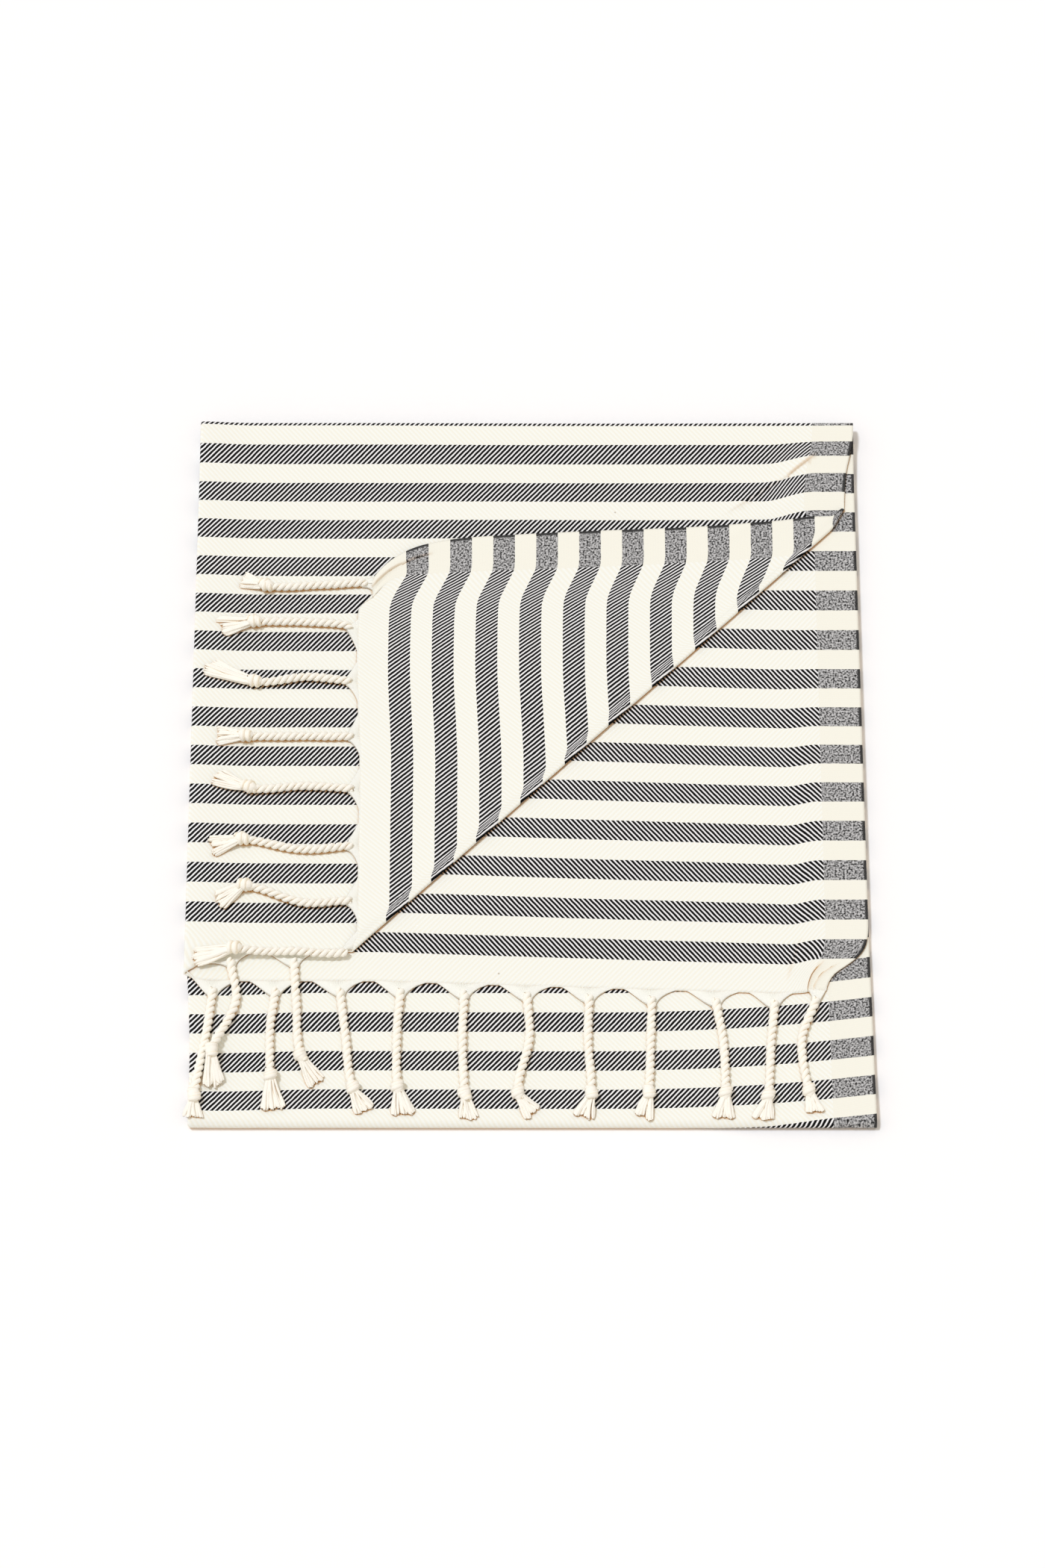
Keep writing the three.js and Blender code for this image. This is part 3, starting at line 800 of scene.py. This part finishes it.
# The web of loose warp at a tassel's root. Each yarn is a cubic curve that leaves the woven end, turns
# along it and runs down into the cord.
warp = {
    "radius": 0.58,
    "sides": 4,
    "inset": 0.4,  # the outermost yarn from the selvedge
    "throat": 2.6,  # half width of the yarns where they meet in the cord
    "lee": (0.8, -0.6, 0),  # the side of each tassel where the warp turns in sharply
    "leeFade": 0.3,
    # the curve's two inner points: share of the yarn's distance from the root, and length onward, each
    # with what a taut yarn adds, and an inner one
    "leaving": {"beside": 0.7, "onward": 0.4, "taut": 1.6, "inner": 3},
    "turning": {"beside": 0.22, "besideTaut": 0.26, "onward": 6, "taut": 2.2, "inner": 3},
    "pastWeb": 1.05,  # share of the web's depth at which the yarns end
    "clear": 0.62,  # least height over the ground
    "sink": 0.8,  # how far below the cord's middle the yarns end
    "crown": 1.9,  # rise of the middle yarns at the cord
}
# Two strands twisted on each other.
strand = {
    "radius": 1.85,
    "offset": 1.6,  # from the cord's middle
    "turn": 10.6,  # length of one full twist
    "begins": 0.62,  # at this share of the web's depth
    "press": 0.9,  # the cord's middle lies a strand's radius and this share of the offset up
    "uneven": (0.05, 5),  # share of the radius, and length of its wave
    "taper": (1, 3),  # grows from this far before the beginning to this far past it
    "intoKnot": 1,  # how far past the knot's middle the strands run
}
# The knot: a core, and two yarns wrapped round it.
knot = {
    "radius": 5.9,
    "half": 6.0,  # half its length
    "press": 0.92,  # height of its middle over the ground, as a share of its radius
    "coreRings": 9,
    "coreRadius": 4.5,
    "coreEnd": 0.02,  # keeps the core's ends from closing to a point
    "wraps": 2,
    "wrapRadius": 2.05,
    "wrapTurn": 2.5,  # half turns of each
    "wrapApart": (1.1, 3.3),  # from one to the next, in radians and along the cord
    "wrapRun": 6.2,  # length along the cord of each
    "wrapOut": (3.5, 1.4),  # distance from the cord's middle, and how much less at its ends
    "wrapSway": 1.2,  # how far each leans along the cord as it goes round
    "wrapEnd": 0.12,  # radians of the half wave that its radius follows, cut off at each end
}
# The brush of yarn ends, in a few locks that come to points.
brush = {
    "radius": 1.05,
    "tipRadius": 0.6,
    "sides": 5,
    "locks": (-0.75, 0.0, 0.75),  # where each lies, as a share of the spread
    "lockStray": 0.2,
    "lockLength": (0.88, 1.05),  # shortest and longest, as shares of the brush
    "outerShorter": 0.12,  # how much shorter the outer yarns of a lock are
    "fromKnot": 0.5,  # begins this share of half a knot past its middle
    "lockSpread": (1.6, 4.6),  # at the knot, and what is added at the tip
    "yarnSpread": (1.4, 2.5, 0.9),  # the same, less a part that grows with the square
    "waver": (0.35, 5, 9),  # size, radians along the yarn, and between the lowest yarn and the highest
    "lowest": 0.75,  # height of the lowest yarns
    "pile": (3.6, 1.9),  # height of the highest yarn at the knot, and how much less at the tip
    "outerLower": 0.5,  # how much less the outer yarns of a lock are piled
    "knotRise": 2.4,  # more height at the knot
}


# One tassel's place and route: its root, the directions along and beside it, what it lies on, and
# pathAt(far, height), which gives places at distances from the root, on a smooth curve over the ground.
def layTassel(u, v, row, detail, twist, along, side, ground):
    root = layCloth(np.array([u]), np.array([v]))[0]
    stations = np.array([
        [0, 0],
        [detail["webDepth"], row["start"]],
        [row["knot"] / 2, row["bow"]],
        [row["knot"], row["drift"]],
        [row["tip"], row["swing"]],
    ], float)

    # far is lengths from the root; each one's share of the whole length picks its place on the curve
    def pathAt(far, height):
        far, stray = throughStations(stations, np.array(far) / row["tip"]).T
        line = root + far[:, None] * along + stray[:, None] * side
        line[:, 2] = ground(line[:, 0], line[:, 1]) + fringe["restGap"] + height
        return far, line

    return {"u": u, "v": v, "root": root, "row": row, "detail": detail, "twist": twist,
            "along": along, "side": side, "ground": ground, "pathAt": pathAt}


# Level direction from the first place to the second, and the one beside it.
def levelAxis(places):
    axis = places[1] - places[0]
    axis[2] = 0
    axis /= np.linalg.norm(axis)
    return axis, np.cross(upright, axis)


# Warp yarns as cubic curves with four points each: the weights times the points, summed.
def addWarp(parts, tassel):
    root, along, side, detail = tassel["root"], tassel["along"], tassel["side"], tassel["detail"]
    deep = detail["webDepth"]
    tight = deep / fringe["webDepth"]
    fan = np.linspace(-1, 1, detail["warpYarns"])
    lastPlace = halfWidth - warp["inset"]
    places = np.clip(tassel["u"] + fan * fringe["webReach"], -lastPlace, lastPlace)
    start = layCloth(places, np.full(len(fan), tassel["v"]))
    _, neck = tassel["pathAt"]([deep], strand["radius"])
    t = np.linspace(0, 1, detail["fanSteps"])[None, :, None]
    beside = ((start - root) @ side)[:, None, None]
    ahead = ((start - root) @ along)[:, None, None]
    throat = ((neck[0] - root) @ side) + fan[:, None, None] * warp["throat"]
    inner = (1 - np.abs(fan))[:, None, None]
    taut = ease(warp["leeFade"], -warp["leeFade"], fan * (side @ warp["lee"]))[:, None, None]
    leaving, turning = warp["leaving"], warp["turning"]
    leavingOnward = leaving["onward"] + leaving["taut"] * taut + leaving["inner"] * inner
    turningOnward = turning["onward"] + turning["taut"] * taut + turning["inner"] * inner
    bend = [
        (beside, ahead),
        (leaving["beside"] * beside, ahead + leavingOnward * tight),
        ((turning["beside"] + turning["besideTaut"] * taut) * beside, turningOnward * tight),
        (throat, warp["pastWeb"] * deep),
    ]
    weight = [(1 - t) ** 3, 3 * t * (1 - t) ** 2, 3 * t * t * (1 - t), t**3]
    lateral = sum(w * b[0] for w, b in zip(weight, bend))
    onward = sum(w * b[1] for w, b in zip(weight, bend))
    yarns = root + lateral * side + onward * along
    t = t[..., 0]
    low = tassel["ground"](yarns[..., 0], yarns[..., 1]) + warp["clear"]
    crowd = np.sqrt(np.maximum(0, 1 - fan[:, None] ** 2))
    height = start[:, None, 2] * (1 - t) + (neck[0, 2] - warp["sink"]) * t
    yarns[..., 2] = np.maximum(low, height) + warp["crown"] * crowd * t
    radii = np.full(yarns.shape[:2], warp["radius"])
    addTubes(parts, yarns, radii, warp["sides"], np.broadcast_to(upright, yarns.shape), isWarp=True)


# Two helices round the cord's path, half a turn apart; lean is where the first one starts.
def addStrands(parts, tassel, lean):
    row, detail = tassel["row"], tassel["detail"]
    begin = detail["webDepth"] * strand["begins"]
    steps = int((row["knot"] - begin) / strand["turn"] * detail["turnSteps"])
    fars = np.linspace(begin, row["knot"] + strand["intoKnot"], steps)
    far, line = tassel["pathAt"](fars, strand["radius"] + strand["offset"] * strand["press"])
    tangent = np.gradient(line, axis=0)
    tangent /= np.linalg.norm(tangent, axis=1, keepdims=True)
    across = np.cross(upright, tangent)
    across /= np.linalg.norm(across, axis=1, keepdims=True)
    turn = tassel["twist"] * 2 * np.pi * far / strand["turn"] + np.array([[0], [np.pi]]) + lean
    outward = np.cos(turn)[..., None] * across + np.sin(turn)[..., None] * upright
    strands = line + strand["offset"] * outward
    uneven, length = strand["uneven"]
    radii = np.full(strands.shape[:2], strand["radius"]) * (1 + uneven * wave(far, length, lean))
    before, past = strand["taper"]
    radii = radii * ease(begin - before, begin + past, far) ** 0.5
    addTubes(parts, strands, radii, detail["sides"], outward)


# A core as a long ball, and wraps as helices round it that lie closer in at their ends.
def addKnot(parts, tassel, lean):
    row, detail = tassel["row"], tassel["detail"]
    _, mid = tassel["pathAt"]([row["knot"], row["knot"] + 1], knot["radius"] * knot["press"])
    axis, beside = levelAxis(mid)
    t = np.linspace(-1, 1, knot["coreRings"])
    core = (mid[0] + t[:, None] * axis * knot["half"])[None]
    coreRadius = knot["coreRadius"] * np.sqrt(np.maximum(knot["coreEnd"], 1 - t**2))
    addTubes(parts, core, coreRadius[None], detail["sides"], np.broadcast_to(upright, core.shape))
    k = np.arange(knot["wraps"])[:, None]
    w = np.linspace(0, 1, detail["wrapSteps"])
    turnApart, runApart = knot["wrapApart"]
    turn = tassel["twist"] * (w * knot["wrapTurn"] * np.pi) + lean + k * turnApart
    outMost, outLess = knot["wrapOut"]
    out = outMost - outLess * (2 * np.abs(w - 0.5)) ** 3
    shift = (w - 0.5) * knot["wrapRun"] + (k - 0.5) * runApart + knot["wrapSway"] * np.sin(turn)
    outward = np.cos(turn)[..., None] * beside + np.sin(turn)[..., None] * upright
    wraps = mid[0] + shift[..., None] * axis + out[:, None] * outward
    halfWave = np.linspace(knot["wrapEnd"], np.pi - knot["wrapEnd"], detail["wrapSteps"])
    radii = np.full(wraps.shape[:2], knot["wrapRadius"]) * np.sqrt(np.sin(halfWave))
    addTubes(parts, wraps, radii, detail["sides"], np.broadcast_to(axis, wraps.shape))


# Yarn ends from the knot to the tip, each in a lock, spreading and thinning evenly.
def addBrush(parts, tassel):
    row, detail = tassel["row"], tassel["detail"]
    ends, lockCount = detail["ends"], len(brush["locks"])
    t = np.linspace(0, 1, detail["fanSteps"])
    stray = brush["lockStray"]
    lockAt = np.array(brush["locks"]) + rng.uniform(-stray, stray, lockCount)
    lock = rng.integers(0, lockCount, ends)
    within = rng.uniform(-1, 1, ends)
    upper = rng.uniform(0, 1, ends)
    lockLength = rng.uniform(*brush["lockLength"], lockCount)
    fromFar = row["knot"] + knot["half"] * brush["fromKnot"]
    reach = (row["tip"] - fromFar) * lockLength[lock] * (1 - brush["outerShorter"] * np.abs(within))
    _, aim = tassel["pathAt"]([fromFar, row["tip"]], 0)
    head, beside = levelAxis(aim)
    atKnot, more = brush["lockSpread"]
    spread = lockAt[lock][:, None] * (atKnot + more * t)
    atKnot, more, less = brush["yarnSpread"]
    spread = spread + within[:, None] * (atKnot + more * t - less * t**2)
    size, ripple, between = brush["waver"]
    spread = spread + size * np.sin(t * ripple + between * upper[:, None])
    yarns = aim[0] + (reach[:, None] * t)[..., None] * head + spread[..., None] * beside
    highest, lower = brush["pile"]
    pile = (highest - lower * t) * upper[:, None] * (1 - brush["outerLower"] * within[:, None] ** 2)
    pile = brush["lowest"] + pile + brush["knotRise"] * (1 - t) ** 2
    yarns[..., 2] = tassel["ground"](yarns[..., 0], yarns[..., 1]) + fringe["restGap"] + pile
    radii = np.full(yarns.shape[:2], brush["radius"])
    radii[:, -1] = brush["tipRadius"]
    addTubes(parts, yarns, radii, brush["sides"], np.broadcast_to(upright, yarns.shape))


# One tassel: warp, strands, knot and brush.
def addTassel(parts, tassel):
    addWarp(parts, tassel)
    lean = rng.uniform(0, 2 * np.pi)
    addStrands(parts, tassel, lean)
    addKnot(parts, tassel, lean)
    addBrush(parts, tassel)


# The 21 tassels of the end that shows. Those of the turned corner point to the left and are twisted the
# other way; the others point to the near side.
def makeFrontFringe():
    parts = Parts()
    for number, (u, row) in enumerate(zip(rootsAcross(), tasselRows)):
        over = u > 0
        onCorner = over and pastFold(towel["leftEdge"] + u, towel["underEndY"] + towel["slip"]) > 0
        along = np.array([-1.0, 0, 0]) if onCorner else np.array([0, -1.0, 0])
        side = np.array([0, 1.0, 0]) if onCorner else np.array([1.0 if over else -1.0, 0, 0])
        twist = -1 if onCorner else 1
        detail = cornerDetail if onCorner else frontDetail
        addTassel(parts, layTassel(
            u, fringe["rootIn"], row, detail, twist, along, side,
            lambda x, y: restTop(x, y, onCorner, over) + crossingRise(number, x, y)))
    return parts.build("front_tassels")


# The 21 tassels of the hidden end: straight, on the ground, each height pressed to one share of itself.
def makeBackFringe():
    parts = Parts()
    along, side = np.array([0, 1.0, 0]), np.array([1.0, 0, 0])
    v = towel["length"] - fringe["rootIn"]
    for u in rootsAcross():
        addTassel(parts, layTassel(
            u, v, backRow, backDetail, np.sign(u), along, side, lambda x, y: 0 * x))
    gap = fringe["restGap"]
    for points in parts.points:
        points[:, 2] = gap + fringe["backFlat"] * (points[:, 2] - gap)
    return parts.build("back_tassels")


frontTassels = makeFrontFringe()
backTassels = makeBackFringe()
print("fringes knotted:", len(frontTassels.data.polygons), len(backTassels.data.polygons), "faces")

# Undyed cotton, flat-woven, with near-black weft in the stripes. It is matt and off-white; the stripes
# read as fine diagonal lines, and as speckled grey in the bands beside the selvedges.
weave = {
    "natural": "#F6F8F2",
    "shade": "#EEE3C2",
    "dark": "#040404",
    "pale": "#FFFFFF",  # natural warp between dark lines
    "roughness": 0.9,
    "specular": 0.1,
    "wobble": 0.2,  # waves of about 5 mm, as waves in a millimetre
    "stripe": 16.5,
    "period": 32.8,
    "margin": 23.5,  # from the woven end to the first stripe
    "edgeWobble": 0.5,  # how much the wobble unsettles the stripes' edges
    "twillAcross": 3.75,  # from one twill line to the next, across and along
    "twillAlong": 4.25,
    "twillWobble": 0.2,
    "twillDark": (0.225, 0.42),  # distance from a line's middle at which it is dark and pale, in spacings
    "counterTwill": (0.1, 0.4),  # the same for the faint twill that crosses it, and its share of shade
    "counterShare": 0.3,
    "band": 31.5,  # width of the band beside the selvedge
    "bandShare": 0.2,  # more shade in the band
    "eyes": 0.68,  # eyes of about 1.5 mm, as eyes in a millimetre
    "birdseye": (0.36, 0.63, 0.98, 0.41),  # noise from and to, dark share from and to
    "rib": 1.06,  # from one rib of the band to the next
    "turnIn": 1.9,  # width of the dark edge where the weft turns back
    "turnInUneven": 4.0,
    "turnInDark": 0.95,  # its dark share
    "fleck": "#8A6A48",  # sparse flecks of seed husk
    "fleckApart": 38,
    "fleckSize": (0.012, 0.026, 0.5),  # whole and gone, in spacings, and strength; coarser than husk, to show
    # painted shade, warm, along the foot of each crease
    "crease": "#D9A04A",
    "creviceShade": ("#E3AA5C", 3.6, 0.66, 0.4),  # painted shade where something stands near: brown, reach, open and closed share of sky
    "weftRelief": 0.6,  # heights of the yarns, as shares of the bump's depth
    "warpRelief": -0.6,
    "fibre": 1.4,  # fibres in a millimetre; real ones are far finer and wouldn't show
    "fibreRelief": 0.5,
    "bump": (0.5, 0.0003),  # strength, and depth in metres
}
noiseMiddle = 0.5
zigzag = 0.5  # peak of a zigzag that repeats after 1
mathNode, mixNode, rangeNode = "ShaderNodeMath", "ShaderNodeMix", "ShaderNodeMapRange"


# Share of dark stripe at v: 1 where v less the margin, modulo the period, is under the stripe's width,
# from half the margin on; a slow noise unsettles its edges.
def stripeShare(tree, v, wobble):
    stray = addNode(tree, mathNode, {0: wobble, 1: weave["edgeWobble"]}, operation="MULTIPLY")
    edge = addNode(tree, mathNode, {0: v, 1: stray}, operation="ADD")
    fromFirst = addNode(tree, mathNode, {0: edge, 1: weave["margin"]}, operation="SUBTRACT")
    phase = addNode(tree, mathNode, {0: fromFirst, 1: weave["period"]}, operation="FLOORED_MODULO")
    inside = addNode(tree, mathNode, {0: phase, 1: weave["stripe"]}, operation="LESS_THAN")
    pastEnd = addNode(tree, mathNode, {0: v, 1: weave["margin"] / 2}, operation="GREATER_THAN")
    return addNode(tree, mathNode, {0: inside, 1: pastEnd}, operation="MULTIPLY")


# Dark share of the twill, and pale share of the faint twill that crosses it: zigzags of u over its
# spacing less, or plus, v over its own.
def twillShares(tree, u, v, wobble):
    across = addNode(tree, mathNode, {0: u, 1: weave["twillAcross"]}, operation="DIVIDE")
    along = addNode(tree, mathNode, {0: v, 1: weave["twillAlong"]}, operation="DIVIDE")
    slant = addNode(tree, mathNode, {0: across, 1: along}, operation="SUBTRACT")
    stray = addNode(tree, mathNode, {0: wobble, 1: weave["twillWobble"]}, operation="MULTIPLY")
    strayed = addNode(tree, mathNode, {0: slant, 1: stray}, operation="ADD")
    line = addNode(tree, mathNode, {0: strayed, 1: zigzag}, operation="PINGPONG")
    dark, pale = weave["twillDark"]
    twill = addNode(tree, rangeNode, {0: line, 1: dark, 2: pale, 3: 1.0, 4: 0.0})
    otherSlant = addNode(tree, mathNode, {0: across, 1: along}, operation="ADD")
    crossing = addNode(tree, mathNode, {0: otherSlant, 1: zigzag}, operation="PINGPONG")
    shaded, pale = weave["counterTwill"]
    counter = addNode(tree, rangeNode, {0: crossing, 1: shaded, 2: pale, 3: 1.0, 4: 0.0})
    return twill, counter


# Dark share where the weft turns back: u from the middle, made uneven by the eyes' noise, past the edge.
def turnInShare(tree, fromMiddle, eyes):
    level = addNode(tree, mathNode, {0: eyes, 1: noiseMiddle}, operation="SUBTRACT")
    uneven = addNode(tree, mathNode, {0: level, 1: weave["turnInUneven"]}, operation="MULTIPLY")
    place = addNode(tree, mathNode, {0: fromMiddle, 1: uneven}, operation="ADD")
    turned = addNode(tree, mathNode, {0: place, 1: halfWidth - weave["turnIn"]}, operation="GREATER_THAN")
    return addNode(tree, mathNode, {0: turned, 1: weave["turnInDark"]}, operation="MULTIPLY")


# Colour with the flecks of husk over it, and painted shade: the warm crease lines, and brown in its crevices.
def huskAndShadeColour(tree, colour, inMm):
    husk = addNode(tree, "ShaderNodeTexVoronoi", {"Vector": inMm, "Scale": 1 / weave["fleckApart"]})
    size, gone, strength = weave["fleckSize"]
    fleck = addNode(tree, rangeNode, {0: husk.outputs["Distance"], 1: size, 2: gone, 3: strength, 4: 0.0})
    flecked = addNode(tree, mixNode, {
        0: fleck, 6: colour.outputs[2], 7: linear(weave["fleck"]),
    }, data_type="RGBA")
    crease = addNode(tree, "ShaderNodeAttribute", attribute_name="creaseShadeLine")
    creaseShaded = addNode(tree, mixNode, {
        0: crease.outputs["Fac"], 6: flecked.outputs[2], 7: linear(weave["crease"]),
    }, data_type="RGBA", blend_type="MULTIPLY")
    return addCreviceShade(tree, creaseShaded.outputs[2], *weave["creviceShade"])


# Height of the yarns: dark weft stands up, shaded warp lies low, and a fine noise is the fibres.
def yarnRelief(tree, darkShare, faint, inMm):
    weft = addNode(tree, mathNode, {0: darkShare, 1: weave["weftRelief"]}, operation="MULTIPLY")
    yarns = addNode(tree, mathNode, {0: faint, 1: weave["warpRelief"]}, operation="MULTIPLY")
    woven = addNode(tree, mathNode, {0: weft, 1: yarns}, operation="ADD")
    fibre = addNode(tree, "ShaderNodeTexNoise", {"Vector": inMm, "Scale": weave["fibre"], "Detail": 3.0})
    fuzz = addNode(tree, mathNode, {0: fibre, 1: weave["fibreRelief"]}, operation="MULTIPLY")
    height = addNode(tree, mathNode, {0: woven, 1: fuzz}, operation="ADD")
    strength, depth = weave["bump"]
    return addNode(tree, "ShaderNodeBump", {"Height": height, "Strength": strength, "Distance": depth})


# Cotton's colour is natural, with a faint shade, paler where a stripe is, and dark by the dark share,
# which is twill in the middle and birdseye in the bands.
def weaveMaterial():
    material, tree = newMaterial("flat-woven cotton")
    place = addNode(tree, "ShaderNodeUVMap", uv_map="clothPlace")
    inMm = addNode(tree, "ShaderNodeVectorMath", {0: place, "Scale": 1 / mm}, operation="SCALE")
    split = addNode(tree, "ShaderNodeSeparateXYZ", {0: inMm})
    u, v = split.outputs[0], split.outputs[1]
    slowNoise = addNode(tree, "ShaderNodeTexNoise", {"Vector": inMm, "Scale": weave["wobble"], "Detail": 1.0})
    wobble = addNode(tree, mathNode, {0: slowNoise, 1: noiseMiddle}, operation="SUBTRACT")
    stripe = stripeShare(tree, v, wobble)
    twill, counter = twillShares(tree, u, v, wobble)
    fromMiddle = addNode(tree, mathNode, {0: u}, operation="ABSOLUTE")
    inBand = addNode(tree, mathNode, {0: fromMiddle, 1: halfWidth - weave["band"]}, operation="GREATER_THAN")
    eyes = addNode(tree, "ShaderNodeTexNoise", {"Vector": inMm, "Scale": weave["eyes"], "Detail": 1.0})
    birdseye = addNode(tree, rangeNode, {0: eyes, **dict(enumerate(weave["birdseye"], 1))})
    ribCount = addNode(tree, mathNode, {0: v, 1: weave["rib"]}, operation="DIVIDE")
    ribs = addNode(tree, mathNode, {0: ribCount, 1: zigzag}, operation="PINGPONG")

    woven = addNode(tree, mixNode, {0: inBand, 2: twill, 3: birdseye})
    edged = addNode(tree, mathNode, {0: woven, 1: turnInShare(tree, fromMiddle, eyes)}, operation="MAXIMUM")
    darkShare = addNode(tree, mathNode, {0: edged, 1: stripe}, operation="MULTIPLY")

    faint = addNode(tree, mixNode, {0: inBand, 2: counter, 3: ribs})
    shaded = addNode(tree, mathNode, {0: faint, 1: weave["counterShare"]}, operation="MULTIPLY")
    banded = addNode(tree, mathNode, {0: inBand, 1: weave["bandShare"]}, operation="MULTIPLY")
    shadeShare = addNode(tree, mathNode, {0: shaded, 1: banded}, operation="ADD")
    natural, shade = linear(weave["natural"]), linear(weave["shade"])
    plain = addNode(tree, mixNode, {0: shadeShare, 6: natural, 7: shade}, data_type="RGBA")
    paleWarp = addNode(tree, mixNode, {
        0: stripe, 6: plain.outputs[2], 7: linear(weave["pale"]),
    }, data_type="RGBA")
    colour = addNode(tree, mixNode, {
        0: darkShare, 6: paleWarp.outputs[2], 7: linear(weave["dark"]),
    }, data_type="RGBA")
    cotton = addNode(tree, "ShaderNodeBsdfPrincipled", {
        "Base Color": huskAndShadeColour(tree, colour, inMm),
        "Roughness": weave["roughness"],
        "Specular IOR Level": weave["specular"],
        "Normal": yarnRelief(tree, darkShare, faint, inMm),
    })
    addNode(tree, "ShaderNodeOutputMaterial", {0: cotton})
    return material


# Plied cotton yarn, cream and matt, with painted shade, a touch warmer, in the hollows between strands
# and brown in its crevices. The loose warp is cooler, nearly as the cloth is, and has no painted shade.
cord = {
    "yarn": "#FFFCF2",
    "hollowShade": "#FBF1DC",
    "warp": "#F8F8F0",
    "roughness": 0.9,
    "specular": 0.1,
    "hollowShadeFrom": (0.25, -0.75),  # how far outward a place faces where the painted shade of the hollows is gone and whole
    "creviceShade": ("#E6C48C", 3, 0.3, 0.04),  # painted shade where something stands near: brown, reach, open and closed share of sky
    "fibres": (260, 9, 1),  # waves in a metre of yarn, and round it; coarser than real fibres, to show
    "bump": (0.35, 0.0004),  # strength, and depth in metres
}


# The second UV runs from 0 to 1 round each yarn, outward at a quarter and inward at three quarters, so
# its sine tells the hollows, where shade is painted; on the warp it is warpAround.
def cordMaterial():
    material, tree = newMaterial("twisted cotton yarn")
    place = addNode(tree, "ShaderNodeUVMap", uv_map="yarnPlace")
    around = addNode(tree, "ShaderNodeSeparateXYZ", {0: place}).outputs[1]
    turn = addNode(tree, mathNode, {0: around, 1: 2 * np.pi}, operation="MULTIPLY")
    outward = addNode(tree, mathNode, {0: turn}, operation="SINE")
    gone, whole = cord["hollowShadeFrom"]
    hollowShade = addNode(tree, rangeNode, {0: outward, 1: gone, 2: whole, 3: 0.0, 4: 1.0})
    stretch = addNode(tree, "ShaderNodeMapping", {0: place, "Scale": cord["fibres"]})
    fibres = addNode(tree, "ShaderNodeTexNoise", {"Vector": stretch, "Scale": 1.0, "Detail": 2.0})
    strength, depth = cord["bump"]
    bump = addNode(tree, "ShaderNodeBump", {"Height": fibres, "Strength": strength, "Distance": depth})
    tone = addNode(tree, mixNode, {
        0: hollowShade, 6: linear(cord["yarn"]), 7: linear(cord["hollowShade"]),
    }, data_type="RGBA")
    # painted shade, brown, where something stands near the yarn
    twisted = addCreviceShade(tree, tone.outputs[2], *cord["creviceShade"])
    isWarp = addNode(tree, mathNode, {0: around, 1: (1 + warpAround) / 2}, operation="GREATER_THAN")
    colour = addNode(tree, mixNode, {0: isWarp, 6: twisted, 7: linear(cord["warp"])}, data_type="RGBA")
    cotton = addNode(tree, "ShaderNodeBsdfPrincipled", {
        "Base Color": colour.outputs[2],
        "Roughness": cord["roughness"],
        "Specular IOR Level": cord["specular"],
        "Normal": bump,
    })
    addNode(tree, "ShaderNodeOutputMaterial", {0: cotton})
    return material


cloth.data.materials.append(weaveMaterial())
yarnMaterial = cordMaterial()
frontTassels.data.materials.append(yarnMaterial)
backTassels.data.materials.append(yarnMaterial)
print("materials mixed")

# Floor and light; lengths in metres.
studio = {
    "floor": "#FDFDFD",
    "floorSize": 12,
    "sun": 1.53,
    "sunFrom": (-0.5, 0.08, 1.5),  # from the left, well above
    "sunAngle": 8,  # degrees across, for soft edges
    "sunColour": "#EAF2FF",
    "world": 0.68,
    "worldColour": "#FFF5E9",
}


# A wide floor, painted matt white, so that the shadows on it stay pale.
def makeFloor():
    mesh = bpy.data.meshes.new("floor")
    half = studio["floorSize"] / 2
    corners = [(-half, -half, 0), (half, -half, 0), (half, half, 0), (-half, half, 0)]
    mesh.from_pydata(corners, [], [(0, 1, 2, 3)])
    floor = addObject("floor", mesh)
    material, tree = newMaterial("painted floor")
    paint = addNode(tree, "ShaderNodeBsdfDiffuse", {0: linear(studio["floor"])})
    addNode(tree, "ShaderNodeOutputMaterial", {0: paint})
    mesh.materials.append(material)


# One soft sun from the left and an even dome for fill.
def makeLight():
    lamp = bpy.data.lights.new("sun", "SUN")
    lamp.energy = studio["sun"]
    lamp.angle = np.radians(studio["sunAngle"])
    lamp.color = linear(studio["sunColour"])[:3]
    sun = addObject("sun", lamp)
    sun.rotation_euler = Vector(studio["sunFrom"]).to_track_quat("Z", "Y").to_euler()
    world = bpy.data.worlds.new("studio")
    world.use_nodes = True
    tree = world.node_tree
    tree.nodes.clear()
    dome = addNode(tree, "ShaderNodeBackground", {0: linear(studio["worldColour"]), 1: studio["world"]})
    addNode(tree, "ShaderNodeOutputWorld", {0: dome})
    bpy.context.scene.world = world


makeFloor()
makeLight()
bpy.context.scene.view_settings.view_transform = "Standard"
print("floor and light ready")

# Each piece rides on the one body and stands for its solid.
for piece, node, slot in (
    (cloth, "towel_cloth", "woven_cotton"),
    (frontTassels, "front_fringe", "fringe_cotton"),
    (backTassels, "back_fringe", "fringe_cotton"),
):
    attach(piece, "root")
    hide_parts(node)
